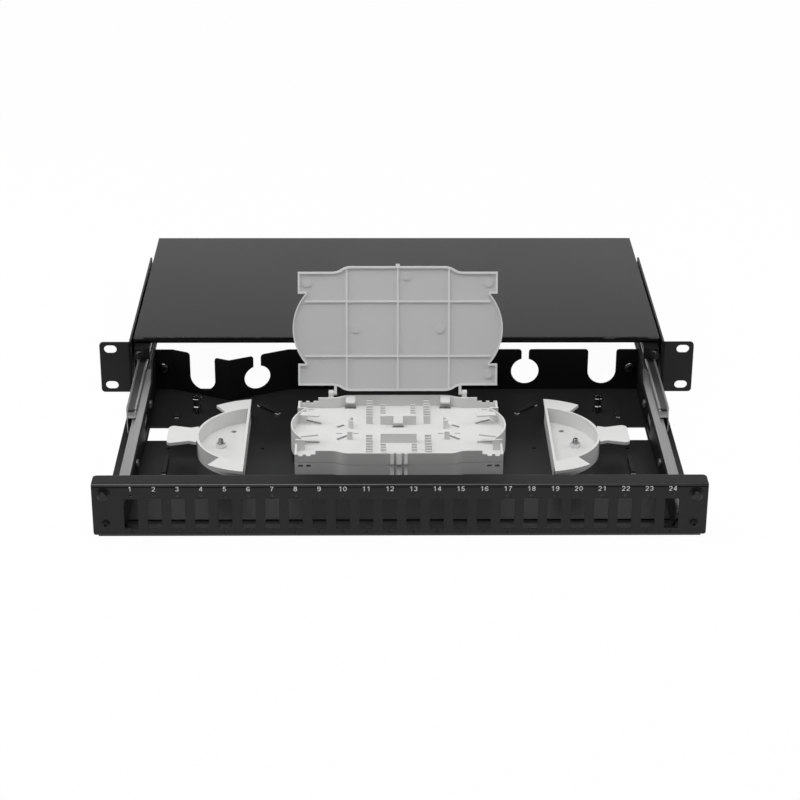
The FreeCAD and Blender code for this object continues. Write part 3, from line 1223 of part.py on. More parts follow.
def add_tray_knuckles(body, top):
    """The two hinge knuckles behind the rear wall."""
    axis, knuckle, wide = top + d.hinge_rise, d.hinge_knuckle_radius, d.hinge_knuckle_width
    inside, toe = d.hinge_x + d.running_gap, top - d.hinge_knuckle_toe
    wall = TRAY_Y + d.tray_corner_depth
    shelf = wall - d.tray_wall
    for low in (-inside - wide, inside):
        pad(body, "YZ", low, low + wide,
            [[(shelf, top - d.hinge_knuckle_foot), (HINGE_Y + knuckle, toe),
              (HINGE_Y + knuckle, axis, knuckle), (HINGE_Y, axis + knuckle, knuckle),
              (HINGE_Y - knuckle, axis), (wall + d.hinge_knuckle_step, top), (shelf, top)]])
        pocket(body, "YZ", low - PAST, low + wide + PAST,
               [circle(HINGE_Y, axis, d.hinge_pin_radius + d.hinge_gap)])


def make_splice_cover():
    """The hinged cover of the upper tray: a ribbed plate with a rim, on two arms with pins.

    It is drawn shut about its hinge axis and then turned open.
    """
    body = new_body("splice_cover")
    middle = TRAY_Y - d.cover_shift - HINGE_Y
    under = -d.hinge_rise + d.running_gap
    plate = under + d.cover_rib
    top = plate + d.cover_plate
    inset, rim, rib, none = d.cover_inset, d.cover_rim, d.cover_rib_width, Dim.of(0)
    pad(body, "XY", under, top, [tray_outline(none, inset, middle)])
    pocket(body, "XY", under - PAST, plate, [tray_outline(rim, inset, middle)])
    long_half = d.tray_half_depth - inset - rim / 2
    pad(body, "XY", under + d.cover_rib_step, plate,
        [centred(x, middle, rib, 2 * long_half) for x in (-d.cover_rib_x, none, d.cover_rib_x)])
    pad(body, "XY", under + d.cover_rib_step, plate,
        [centred(none, middle + y, 2 * d.tray_end_x, rib) for y in (-d.cover_rib_y, d.cover_rib_y)])
    pad(body, "XY", under + d.cover_pad_step, plate,
        [circle(x, middle + y, d.cover_pad_radius) for x, y in COVER_PADS])
    tip, tooth = middle - d.tray_half_depth + inset, d.cover_tooth / 2
    pad(body, "XY", under, top, [rectangle(-tooth, tooth, tip - d.cover_tooth_reach, tip + rim / 2)])
    arm, pin, edge = d.hinge_arm, d.hinge_pin_radius, d.hinge_pin_radius + d.hinge_arm_edge
    shelf = middle + d.tray_corner_depth - inset - d.hinge_arm_root
    for sign in (-1, 1):
        low = d.hinge_x - arm if sign > 0 else -d.hinge_x
        pad(body, "YZ", low, low + arm,
            [[(shelf, under), (0, -edge, edge), (edge, 0, edge), (0, edge), (-pin, top), (shelf, top)]])
        start = d.hinge_x if sign > 0 else -d.hinge_x - d.hinge_pin_length
        pad(body, "YZ", start, start + d.hinge_pin_length, [circle(0, 0, pin)])
    body.Placement = FreeCAD.Placement(
        FreeCAD.Vector(0, 0, 0), FreeCAD.Rotation(FreeCAD.Vector(-1, 0, 0), d.cover_open_angle.value))
    bind(body, "Placement.Base.y", HINGE_Y)
    bind(body, "Placement.Base.z", HINGE_Z)
    bind(body, "Placement.Rotation.Angle", d.cover_open_angle)
    doc.recompute()
    keep(body)


def check_document():
    """Stop if any object failed or any sub-part's shape is empty or broken."""
    doc.recompute()
    for item in doc.Objects:
        if "Invalid" in item.State or "Error" in item.State:
            raise RuntimeError("%s failed: %s" % (item.Label, item.State))
    for piece in SUBPARTS:
        if piece.Shape.isNull() or not piece.Shape.isValid() or not piece.Shape.Solids:
            raise RuntimeError("%s has no valid solid" % piece.Label)


def main():
    make_cover()
    make_brackets()
    make_latch_plates()
    make_rails()
    make_cages()
    make_floor()
    make_side_walls()
    make_rear_wall()
    make_front_panel()
    make_plungers()
    make_screws()
    make_spools()
    make_studs()
    make_posts()
    make_tray("splice_tray_lower", TRAY_LOW, stacked=True)
    make_tray("splice_tray_upper", TRAY_LOW + d.tray_height, stacked=False)
    make_splice_cover()
    check_document()
    os.makedirs("parts", exist_ok=True)
    for piece in SUBPARTS:
        piece.Shape.exportStep("parts/%s.step" % piece.Label)


main()
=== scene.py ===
"""Looks of a sliding fibre patch panel for a 19-inch rack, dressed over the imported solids.

Everything is in metres. The origin is the middle of the rack ears' front plane, with +X to the
right as seen from the front, +Y towards the back of the rack and +Z up.
"""

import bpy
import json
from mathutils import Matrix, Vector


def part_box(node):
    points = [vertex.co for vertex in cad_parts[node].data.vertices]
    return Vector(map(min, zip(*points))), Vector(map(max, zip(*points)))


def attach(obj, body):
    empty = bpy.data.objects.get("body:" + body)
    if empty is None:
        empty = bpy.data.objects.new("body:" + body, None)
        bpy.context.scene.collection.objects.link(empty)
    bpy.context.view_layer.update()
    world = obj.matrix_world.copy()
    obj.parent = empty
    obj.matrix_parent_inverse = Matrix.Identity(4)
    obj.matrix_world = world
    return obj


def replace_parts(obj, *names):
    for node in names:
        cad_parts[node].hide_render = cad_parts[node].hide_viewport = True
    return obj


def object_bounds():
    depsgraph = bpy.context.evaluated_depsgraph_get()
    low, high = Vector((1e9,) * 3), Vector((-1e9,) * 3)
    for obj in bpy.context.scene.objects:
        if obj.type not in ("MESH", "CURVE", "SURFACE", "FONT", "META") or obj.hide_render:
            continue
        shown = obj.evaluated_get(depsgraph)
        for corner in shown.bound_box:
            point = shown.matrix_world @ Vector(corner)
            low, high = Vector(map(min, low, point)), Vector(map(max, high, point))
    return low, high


bl_info = {
    "name": "Sliding fibre patch panel",
    "version": (1, 0, 0),
    "blender": (4, 5, 0),
    "location": "View3D > Sidebar > Patch panel",
    "description": "Finishes, port numbers and fasteners of a sliding fibre patch panel, in a studio",
    "category": "Object",
}

import json
import math

import bpy
import numpy as np
from mathutils import Matrix

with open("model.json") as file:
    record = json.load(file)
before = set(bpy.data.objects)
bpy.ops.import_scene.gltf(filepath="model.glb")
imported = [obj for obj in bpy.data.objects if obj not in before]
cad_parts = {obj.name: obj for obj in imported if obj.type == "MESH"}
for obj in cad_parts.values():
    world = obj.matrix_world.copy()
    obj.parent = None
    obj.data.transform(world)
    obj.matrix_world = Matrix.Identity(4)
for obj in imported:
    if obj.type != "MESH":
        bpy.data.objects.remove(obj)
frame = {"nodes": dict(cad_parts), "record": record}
CAD_BOX = [list(corner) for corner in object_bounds()]
MM = 0.001

# The camera was fitted to the rack slots and the outer corners of the panel
CAMERA_PLACE = (-17.24 * MM, -1612.49 * MM, 721.28 * MM)
CAMERA_PITCH, CAMERA_YAW, CAMERA_ROLL = -24.97, -0.705, -0.227
CAMERA_FOCAL, CAMERA_SENSOR, CAMERA_REACH = 97.5, 36.0, 50.0

# Front edges that are bent back: the bend, the gentle curve below it and the slope there, then the
# ramp at the bend, the ramp over which the coat turns smooth, and the share of roughness it loses
FOLD_DEPTH, FOLD_RUN_OUT, FOLD_SLOPE = 1.5 * MM, 1.0 * MM, 0.36
FOLD_RAMP = FOLD_DEPTH / 4
FOLD_FADE, FOLD_SMOOTHING = 0.1 * MM, 0.8

# Painted highlight just above the drawer's floor, on faces that look to the front, for the lamp's
# reflection on the near ends of the tie straps: its lowest and highest level there and the ramp at
# both, then the backward part of a direction at which it ends, with its ramp
HIGHLIGHT_LOW, HIGHLIGHT_HIGH, HIGHLIGHT_FADE = 0.1 * MM, 1.1 * MM, 0.1 * MM
HIGHLIGHT_FACING, HIGHLIGHT_TURN = -0.2, 0.5

# Radii to which the edges of the sheets, the housing's cover and the rails look rounded
SHEET_EDGE, COVER_EDGE, RAIL_EDGE = 0.6 * MM, 1.4 * MM, 0.4 * MM

# Rolled steel: cells of its streaks per metre along each axis. Painted shade down the middle rails'
# ball tracks, for the shade in their grooves: how far it stays inside the rail's faces, and its ramp
STREAK_CELLS = (900.0, 10.0, 900.0)
TRACK_SHADE_INSET, TRACK_SHADE_FADE = 1.2 * MM, 0.3 * MM

# Ribs of the splice cover: where they end, from the hinge's axis back, and the ramp there
RIB_END, RIB_FADE = -1.25 * MM, 0.15 * MM

# Turned pieces: the angles round them, the angle from which an edge is sharp, and what keeps a
# divisor above zero
TURN_STEPS = 48
TURN = np.arange(TURN_STEPS) * (2.0 * math.pi / TURN_STEPS)
SHARP_ANGLE = math.radians(32.0)
TINY = 1e-9

# Pan heads: as shares of the radius the flat top, the shank, the arms and half width of a cross and
# the flats of a hexagon, as shares of the height the rim and the recess's floor; then the rings of
# the rounding, and the shank's radius of the screws that face the front
PAN_FLAT, PAN_SHANK, CROSS_ARM, CROSS_HALF, SOCKET_FLATS = 0.62, 0.55, 0.52, 0.13, 0.8
PAN_RIM, PAN_FLOOR = 0.35, 0.4
DOME_RINGS = 7
FRONT_SHANK = 2.0 * MM

# A thread's depth as a share of its pitch, what a recess narrows to at its floor, and the reach of
# a hexagon's bevelled corners as a share of its flats
THREAD_DEPTH, RECESS_TAPER, BEVEL_REACH = 0.61, 0.7, 0.51

# Studs and nuts: the stud's threaded share and the width of its end, and the height of a nut's bevel
STUD_THREAD, STUD_END, NUT_BEVEL = 0.93, 0.7, 0.12

# Clamp screws: as shares of the flange's radius the shank and the upper edge, of its thickness the
# rim, of the height the bevel's start and the recess's floor, of the flats the cross
CLAMP_SHANK, CLAMP_EDGE, CLAMP_RIM = 0.4, 0.9, 0.6
CLAMP_BEVEL, CLAMP_FLOOR = 0.9, 0.6
CLAMP_ARM, CLAMP_HALF = 0.38, 0.1

# Port numbers, as shares of the digit height: a digit's width, the step to the next one, the pen's
# width and the stretch across; then the step between strokes as a share of the ink's thickness, and
# the points along an arc
DIGIT_WIDTH, DIGIT_STEP, DIGIT_PEN, DIGIT_STRETCH = 0.62, 0.78, 0.12, 1.12
STROKE_STEP = 0.1
ARC_POINTS = 33

# In reflections the white backdrop behind the panel fades out towards a dim ceiling, where the
# height of a view direction less this share of its reach to the rear passes from low to high
BACKDROP_LEAN = 0.3
BACKDROP_LOW, BACKDROP_HIGH = -0.085, 0.133
CEILING_DIMMING = 0.95

# The floor's half width, its own lightness, and the share of white that a viewer sees on it
FLOOR_REACH, FLOOR_LIGHTNESS, FLOOR_WHITE = 12.0, 0.85, 0.97


class PanelColours(bpy.types.PropertyGroup):
    """Colours of the finishes, as linear light."""

    paint: bpy.props.FloatVectorProperty(
        name="Outer coat", description="Powder coat of the housing, the front panel and the floor",
        subtype="COLOR", size=3, min=0.0, max=1.0, default=(0.012, 0.012, 0.0122))
    inside: bpy.props.FloatVectorProperty(
        name="Inner coat", description="Matt powder coat of the drawer's side and rear walls",
        subtype="COLOR", size=3, min=0.0, max=1.0, default=(0.006, 0.006, 0.0061))
    steel: bpy.props.FloatVectorProperty(
        name="Zinc", description="Inner and middle rails and the ball cages",
        subtype="COLOR", size=3, min=0.0, max=1.0, default=(0.55, 0.55, 0.55))
    dull: bpy.props.FloatVectorProperty(
        name="Dull zinc", description="Outer rails",
        subtype="COLOR", size=3, min=0.0, max=1.0, default=(0.33, 0.33, 0.33))
    screws: bpy.props.FloatVectorProperty(
        name="Screw zinc", description="Screws of the inner rails",
        subtype="COLOR", size=3, min=0.0, max=1.0, default=(0.132, 0.132, 0.132))
    # Painted shade: the colour painted down the middle rails' ball tracks in place of the shade in their
    # grooves.
    grease: bpy.props.FloatVectorProperty(
        name="Painted_shade", description="Darkened ball tracks of the middle rails",
        subtype="COLOR", size=3, min=0.0, max=1.0, default=(0.11, 0.11, 0.11))
    # Bright steel also colours the painted highlight on faces that look to the front just above the
    # drawer's floor.
    bright: bpy.props.FloatVectorProperty(
        name="Bright steel", description="Spool nuts, the slides' balls and bare edges at the floor",
        subtype="COLOR", size=3, min=0.0, max=1.0, default=(0.78, 0.78, 0.78))
    blackened: bpy.props.FloatVectorProperty(
        name="Blackened steel", description="Black screws, studs and clamp posts",
        subtype="COLOR", size=3, min=0.0, max=1.0, default=(0.2, 0.2, 0.2))
    flat_black: bpy.props.FloatVectorProperty(
        name="Flat black", description="Screws of the front panel and the brackets",
        subtype="COLOR", size=3, min=0.0, max=1.0, default=(0.005, 0.005, 0.005))
    moulding: bpy.props.FloatVectorProperty(
        name="White moulding", description="Spools and splice trays",
        subtype="COLOR", size=3, min=0.0, max=1.0, default=(0.74, 0.74, 0.735))
    cover: bpy.props.FloatVectorProperty(
        name="Splice cover", description="Frosted plate of the upper tray's cover",
        subtype="COLOR", size=3, min=0.0, max=1.0, default=(0.64, 0.64, 0.64))
    ribs: bpy.props.FloatVectorProperty(
        name="Cover ribs", description="Rim and ribs of the upper tray's cover",
        subtype="COLOR", size=3, min=0.0, max=1.0, default=(0.8, 0.8, 0.8))
    plastic: bpy.props.FloatVectorProperty(
        name="Black moulding", description="Plungers and their grommets",
        subtype="COLOR", size=3, min=0.0, max=1.0, default=(0.009, 0.009, 0.009))
    print: bpy.props.FloatVectorProperty(
        name="Print", description="Port numbers",
        subtype="COLOR", size=3, min=0.0, max=1.0, default=(0.82, 0.82, 0.82))


class PanelSizes(bpy.types.PropertyGroup):
    """Sizes of the print and of the fasteners."""

    digit_height: bpy.props.FloatProperty(
        name="Digit height", description="Height of the port numbers",
        default=3.7 * MM, min=0.0, unit="LENGTH")
    digit_drop: bpy.props.FloatProperty(
        name="Digit drop", description="Middle of the port numbers below the panel's top edge",
        default=3.4 * MM, min=0.0, unit="LENGTH")
    digit_relief: bpy.props.FloatProperty(
        name="Digit relief", description="Thickness of the printed ink",
        default=0.04 * MM, min=0.0, unit="LENGTH")
    head_height: bpy.props.FloatProperty(
        name="Head height", description="Height of the pan heads",
        default=2.0 * MM, min=0.0, unit="LENGTH")
    thread_pitch: bpy.props.FloatProperty(
        name="Thread pitch", description="Pitch of the threads",
        default=0.7 * MM, min=0.1 * MM, unit="LENGTH")
    clamp_flats: bpy.props.FloatProperty(
        name="Clamp hexagon", description="Clamp screws across flats",
        default=5.8 * MM, min=0.0, unit="LENGTH")
    clamp_flange: bpy.props.FloatProperty(
        name="Clamp flange", description="Thickness of the clamp screws' flanges",
        default=0.8 * MM, min=0.0, unit="LENGTH")


class PanelStage(bpy.types.PropertyGroup):
    """Lamps of the studio."""

    sky: bpy.props.FloatProperty(
        name="Sky", description="Strength of the even studio light", default=0.26, min=0.0)
    key: bpy.props.FloatProperty(
        name="Key lamp", description="Power of the lamp above the drawer",
        default=21.0, min=0.0, subtype="POWER")
    side: bpy.props.FloatProperty(
        name="Side lamps", description="Power of the lamp on each side",
        default=4.5, min=0.0, subtype="POWER")
    rear: bpy.props.FloatProperty(
        name="Rear lamp", description="Power of the lamp behind the housing",
        default=2.0, min=0.0, subtype="POWER")


class Value:
    """A shader socket. Arithmetic on it adds Math nodes, so that a formula reads as Python."""

    def __init__(self, finish, socket):
        self.finish = finish
        self.socket = socket

    def _math(self, operation, *terms):
        return self.finish.node("ShaderNodeMath", {"operation": operation}, dict(enumerate(terms)))

    def __add__(self, other):
        return self._math("ADD", self, other)

    def __radd__(self, other):
        return self._math("ADD", other, self)

    def __sub__(self, other):
        return self._math("SUBTRACT", self, other)

    def __rsub__(self, other):
        return self._math("SUBTRACT", other, self)

    def __mul__(self, other):
        return self._math("MULTIPLY", self, other)

    def __rmul__(self, other):
        return self._math("MULTIPLY", other, self)

    def __abs__(self):
        return self._math("ABSOLUTE", self)

    def limited(self):
        """The value kept between 0 and 1."""
        return self.finish.node("ShaderNodeClamp", None, {0: self})

    def rise(self, start, over):
        """0 up to the start, then a ramp to 1."""
        return ((self - start) * (1.0 / over)).limited()

    def fall(self, end, over):
        """A ramp down from 1 that reaches 0 at the end."""
        return ((end - self) * (1.0 / over)).limited()


class Finish:
    """A node tree under construction: a material's, or the world's."""

    def __init__(self, owner):
        owner.use_nodes = True
        self.tree = owner.node_tree

    def node(self, kind, settings=None, inputs=None, output=0):
        """Add a node, set its own settings first, then its sockets, and give one output."""
        node = self.tree.nodes.new(kind)
        for name, setting in (settings or {}).items():
            setattr(node, name, setting)
        for key, value in (inputs or {}).items():
            self.feed(node.inputs[key], value)
        return Value(self, node.outputs[output])

    def feed(self, socket, value):
        """Link a socket to another one, or set it."""
        if isinstance(value, Value):
            self.tree.links.new(value.socket, socket)
        else:
            socket.default_value = value

    def place(self):
        """Object coordinates: metres from the panel's origin, or in the world's tree a direction."""
        return self.node("ShaderNodeTexCoord", output="Object")

    def along(self, axis):
        """One of the object coordinates: 0 for X, 1 for Y, 2 for Z."""
        return self.node("ShaderNodeSeparateXYZ", None, {0: self.place()}, output=axis)

    def facing(self, axis):
        """One of the parts of the surface's own direction: 0 for X, 1 for Y, 2 for Z."""
        direction = self.node("ShaderNodeTexCoord", output="Normal")
        return self.node("ShaderNodeSeparateXYZ", None, {0: direction}, output=axis)

    def stretched(self, scale):
        """Object coordinates with each axis multiplied."""
        return self.node("ShaderNodeMapping", None, {"Vector": self.place(), "Scale": scale})

    def noise(self, scale, detail=2.0, vector=None):
        """Soft noise between about 0.2 and 0.8, with scale in cells per metre."""
        return self.node("ShaderNodeTexNoise", None,
                         {"Vector": vector or self.place(), "Scale": scale, "Detail": detail})

    def between(self, factor, low, high):
        """A colour between two."""
        return self.node("ShaderNodeMix", {"data_type": "RGBA"}, {0: factor, 6: low, 7: high},
                         output=2)

    def uneven(self, factor, colour, spread):
        """A colour that gets darker and lighter by a share of itself."""
        return self.between(factor, shaded(colour, 1.0 - spread), shaded(colour, 1.0 + spread))

    def bump(self, height, strength, distance, edge=0.0):
        """A bumped normal from a height, over edges that look rounded to a radius."""
        inputs = {"Strength": strength, "Distance": distance, "Height": height}
        if edge:
            inputs["Normal"] = self.node("ShaderNodeBevel", {"samples": 6}, {"Radius": edge})
        return self.node("ShaderNodeBump", None, inputs)


def shaded(colour, factor=1.0):
    """A colour made lighter or darker, with full alpha."""
    return tuple(min(channel * factor, 1.0) for channel in colour) + (1.0,)


def new_material(name, **sockets):
    """A material whose Principled sockets are set, with underscores for spaces in their names."""
    material = bpy.data.materials.new(name)
    finish = Finish(material)
    surface = finish.tree.nodes["Principled BSDF"]
    for socket, value in sockets.items():
        finish.feed(surface.inputs[socket.replace("_", " ")], value)
    return material, finish, surface


def powder_coat(name, colour, gloss, roughness, fold=None, edge=SHEET_EDGE, foot_highlight=None):
    """Black powder coat: a fine orange-peel grain, a little uneven in colour and gloss.

    A fold is the foremost y and the highest z of a front edge that is bent back. There the coat is
    smooth and glossy, and the sheet curves in gently below the tight bend: over the run-out the
    height falls by the slope times the way up.

    A foot highlight is the level of a floor and a light steel colour painted on what faces the front
    just above it: painted highlight for the lamp's reflection on the near ends of the tie straps.
    """
    material, finish, surface = new_material(name, Specular_IOR_Level=gloss)
    grain = finish.noise(scale=1500.0)
    cloud = finish.noise(scale=14.0, detail=3.0)
    shade = finish.uneven(cloud, colour, spread=0.15)
    rough = roughness + 0.14 * grain + 0.06 * cloud
    height = 0.012 * MM * grain
    # Painted highlight: faces that look to the front just above the floor take a light steel colour, in
    # place of the lamp's reflection on the near ends of the tie straps.
    if foot_highlight:
        level, painted_highlight = foot_highlight
        up = finish.along(2)
        strip = up.rise(level + HIGHLIGHT_LOW, HIGHLIGHT_FADE) * up.fall(level + HIGHLIGHT_HIGH, HIGHLIGHT_FADE)
        forward = finish.facing(1).fall(HIGHLIGHT_FACING, HIGHLIGHT_TURN)
        shade = finish.between(strip * forward, shade, shaded(painted_highlight))
    finish.feed(surface.inputs["Base Color"], shade)
    if fold:
        front, top = fold
        near = finish.along(1).fall(front + FOLD_DEPTH, FOLD_RAMP)
        climb = finish.along(2) - (top - FOLD_DEPTH - FOLD_RUN_OUT)
        bent = climb.rise(FOLD_RUN_OUT, FOLD_RAMP) * near
        rough = rough * (1.0 - FOLD_SMOOTHING * climb.rise(0.0, FOLD_FADE) * near)
        height = height - FOLD_SLOPE * FOLD_RUN_OUT * climb.rise(0.0, FOLD_RUN_OUT) * near
        finish.feed(surface.inputs["Coat Weight"], bent)
        finish.feed(surface.inputs["Coat Roughness"], 0.1)
    finish.feed(surface.inputs["Roughness"], rough)
    finish.feed(surface.inputs["Normal"], finish.bump(height, strength=1.0, distance=1.0, edge=edge))
    return material


def zinc_plate(name, colour, track_shade=None):
    """Zinc-plated rolled steel with streaks along the rails.

    A track shade is two distances from the panel's middle plane and a darker colour painted between
    them: painted shade for the shade in the ball-track grooves, with the edges left lighter.
    """
    material, finish, surface = new_material(name, Metallic=0.8)
    streaks = finish.noise(scale=1.0, detail=3.0, vector=finish.stretched(STREAK_CELLS))
    cloud = finish.noise(scale=60.0, detail=3.0)
    shade = finish.uneven(streaks, colour, spread=0.2)
    # Painted shade: the rail is darker between the two distances, with its edges left lighter, in place
    # of the shade in the ball-track grooves.
    if track_shade:
        start, end, grease = track_shade
        out = abs(finish.along(0))
        shade = finish.between(out.rise(start, TRACK_SHADE_FADE) * out.fall(end, TRACK_SHADE_FADE),
                               shade, shaded(grease))
    finish.feed(surface.inputs["Base Color"], shade)
    finish.feed(surface.inputs["Roughness"], 0.26 + 0.2 * streaks + 0.1 * cloud)
    finish.feed(surface.inputs["Normal"],
                finish.bump(streaks, strength=0.12, distance=0.03 * MM, edge=RAIL_EDGE))
    return material


def polished_steel(name, colour):
    """Bare polished steel, even all over."""
    return new_material(name, Base_Color=shaded(colour), Metallic=1.0, Roughness=0.12)[0]


def blackened_steel(name, colour, metallic, roughness):
    """Black plating on steel, a little uneven in gloss."""
    material, finish, surface = new_material(name, Metallic=metallic, Specular_IOR_Level=0.3)
    finish.feed(surface.inputs["Base Color"],
                finish.uneven(finish.noise(scale=400.0), colour, spread=0.3))
    finish.feed(surface.inputs["Roughness"], roughness + 0.2 * finish.noise(scale=700.0))
    return material


def moulded_plastic(name, colour, roughness, grain_scale, spread):
    """Moulded plastic with an eroded mould grain and faint flow shading."""
    material, finish, surface = new_material(name, Specular_IOR_Level=0.4)
    grain = finish.noise(grain_scale)
    finish.feed(surface.inputs["Base Color"], finish.uneven(finish.noise(scale=25.0), colour, spread))
    finish.feed(surface.inputs["Roughness"], roughness + 0.15 * grain)
    finish.feed(surface.inputs["Normal"], finish.bump(grain, strength=0.15, distance=0.04 * MM))
    return material


def frosted_cover(plate, ribs):
    """Frosted plastic whose rim and ribs look lighter than the plate.

    The open cover leans back from upright by the hinge's range less a right angle. The distance of
    a point behind the hinge's axis, square to the plate, is then
    cos(lean) (y - hinge y) - sin(lean) (z - hinge z); the ribs are where it is below their end.
    """
    hinge = next(joint for joint in frame["record"]["behaviour"]["joints"]
                 if joint["name"] == "splice_cover_hinge")
    lean = math.radians(hinge["range_deg"][1] - 90.0)
    material, finish, surface = new_material("frosted_cover", Specular_IOR_Level=0.4)
    behind = (math.cos(lean) * (finish.along(1) - hinge["pos_m"][1])
              - math.sin(lean) * (finish.along(2) - hinge["pos_m"][2]))
    raised = behind.fall(RIB_END, RIB_FADE)
    grain = finish.noise(scale=1200.0)
    finish.feed(surface.inputs["Base Color"], finish.between(raised, shaded(plate), shaded(ribs)))
    finish.feed(surface.inputs["Roughness"], 0.4 + 0.15 * grain)
    finish.feed(surface.inputs["Normal"], finish.bump(grain, strength=0.15, distance=0.04 * MM))
    return material


def printing_ink(colour):
    """White screen-printing ink, a little uneven."""
    material, finish, surface = new_material("printing_ink", Roughness=0.5)
    finish.feed(surface.inputs["Base Color"],
                finish.uneven(finish.noise(scale=900.0), colour, spread=0.1))
    return material


def dress(material, *prefixes):
    """Give a material to every CAD node whose name starts with one of the prefixes."""
    for name, node in frame["nodes"].items():
        if name.startswith(prefixes):
            node.data.materials.clear()
            node.data.materials.append(material)


def joined(meshes):
    """Several meshes as one, each one's corners counted on from the last."""
    starts = np.cumsum([0] + [len(points) for points, faces in meshes])
    faces = [np.add(face, start).tolist()
             for (points, polygons), start in zip(meshes, starts) for face in polygons]
    return np.concatenate([points for points, polygons in meshes]), faces


def new_piece(name, meshes, material, body):
    """A new mesh piece at the origin that rides on a body."""
    points, faces = joined(meshes)
    mesh = bpy.data.meshes.new(name)
    mesh.from_pydata(points.tolist(), [], faces)
    mesh.shade_smooth()
    mesh.set_sharp_from_angle(angle=SHARP_ANGLE)
    mesh.materials.append(material)
    piece = bpy.data.objects.new(name, mesh)
    bpy.context.scene.collection.objects.link(piece)
    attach(piece, body)
    return piece


def hexagon_reach(flats):
    """From a hexagon's middle to its side: half the flats over the cosine off the nearest flat."""
    off = (TURN + math.pi / 3) % (math.pi / 3) - math.pi / 6
    return flats / 2 / np.cos(off)


def bevelled_reach(flats):
    """The reach of a hexagon whose corners are turned round."""
    return np.minimum(hexagon_reach(flats), BEVEL_REACH * flats)


def cross_reach(arm, half):
    """From a cross's middle to its side: each bar stops at its end or its flank, whichever is nearer,
    and the longer of the two bars counts."""
    across, up = np.abs(np.cos(TURN)) + TINY, np.abs(np.sin(TURN)) + TINY
    return np.maximum(np.minimum(arm / across, half / up), np.minimum(half / across, arm / up))


def turned_mesh(rings, place, axis):
    """A closed skin through rings about an axis.

    A ring is its reach, one number or one for each angle a, and its height along the axis. Its
    points are place + reach (cos a side + sin a up) + height axis, with side, up and axis square to
    each other. Neighbouring rings are joined by quads and the two end rings are filled.
    """
    axis = np.array(axis, dtype=float)
    side = np.roll(axis, 1)
    up = np.cross(axis, side)
    reach = np.stack([np.broadcast_to(ring[0], TURN.shape) for ring in rings])[..., None]
    height = np.array([ring[1] for ring in rings])[:, None, None]
    round_about = np.cos(TURN)[:, None] * side + np.sin(TURN)[:, None] * up
    points = (np.array(place) + reach * round_about + height * axis).reshape(-1, 3)
    index = np.arange(len(points)).reshape(len(rings), -1)
    after = np.roll(index, -1, axis=1)
    quads = np.stack([index[:-1], after[:-1], after[1:], index[1:]], axis=-1).reshape(-1, 4)
    return points, quads.tolist() + [index[0][::-1].tolist(), index[-1].tolist()]


def thread_rings(radius, start, end, pitch):
    """Rings of a thread: crests at the radius, and roots half a pitch further along."""
    count = max(int(abs(end - start) / pitch), 1)
    spots = np.linspace(start, end, 2 * count + 1)
    return [(radius - THREAD_DEPTH * pitch * (k % 2), spot) for k, spot in enumerate(spots)]


def pan_rings(head, tall, shank, length, pitch, recess):
    """Rings of a pan-head screw: a thread below the seat, a head that rounds off in a quarter
    ellipse from its rim to its flat top, and a recess that narrows to its floor."""
    flat, rim = PAN_FLAT * head, PAN_RIM * tall
    bend = np.linspace(0.0, math.pi / 2, DOME_RINGS)
    dome = list(zip(flat + (head - flat) * np.cos(bend), rim + (tall - rim) * np.sin(bend)))
    return (thread_rings(shank, -length, 0.0, pitch) + [(head, 0.0)] + dome
            + [(recess, tall), (RECESS_TAPER * recess, PAN_FLOOR * tall)])


def upright_pair(rings, box, inset, seat):
    """Two upright turned pieces on one level, each a little in from an end of a box along X."""
    low, high = box
    return [turned_mesh(rings, (x, (low[1] + high[1]) / 2, seat), (0, 0, 1))
            for x in (low[0] + inset, high[0] - inset)]


def arc(middle, reach, start, end):
    """Points round an ellipse: its middle plus its reach times the cosine and sine of the angle."""
    angle = np.radians(np.linspace(start, end, ARC_POINTS))
    return np.array(middle) + np.array(reach) * np.stack([np.cos(angle), np.sin(angle)], axis=1)


def digit_strokes():
    """The digits 0 to 9 as pen strokes, each a path in a cell of height 1 and width DIGIT_WIDTH. The
    nine is the six turned by half a turn."""
    small = arc((0.31, 0.295), (0.235, 0.225), 0, 360)
    six = [small, arc((0.34, 0.5), (0.27, 0.435), 40, 190)]
    return [
        [arc((0.31, 0.5), (0.245, 0.43), 0, 360)],
        [[(0.38, 0.0), (0.38, 1.0)], [(0.13, 0.76), (0.4, 0.95)]],
        [[*arc((0.31, 0.695), (0.235, 0.235), 170, -35), (0.09, 0.08)], [(0.04, 0.07), (0.56, 0.07)]],
        [arc((0.29, 0.72), (0.215, 0.21), 160, -90), arc((0.29, 0.29), (0.235, 0.22), 90, -165)],
        [[(0.44, 1.0), (0.44, 0.0)], [(0.43, 0.95), (0.08, 0.29)], [(0.03, 0.29), (0.6, 0.29)]],
        [[(0.54, 0.93), (0.14, 0.93)], [(0.18, 0.96), (0.11, 0.47)],
         arc((0.3, 0.32), (0.25, 0.25), 140, -165)],
        six,
        [[(0.06, 0.93), (0.58, 0.93)], [(0.54, 0.93), (0.38, 0.62), (0.28, 0.3), (0.24, 0.0)]],
        [arc((0.31, 0.73), (0.2, 0.2), 0, 360), arc((0.31, 0.29), (0.24, 0.22), 0, 360)],
        [(DIGIT_WIDTH, 1.0) - stroke for stroke in six],
    ]


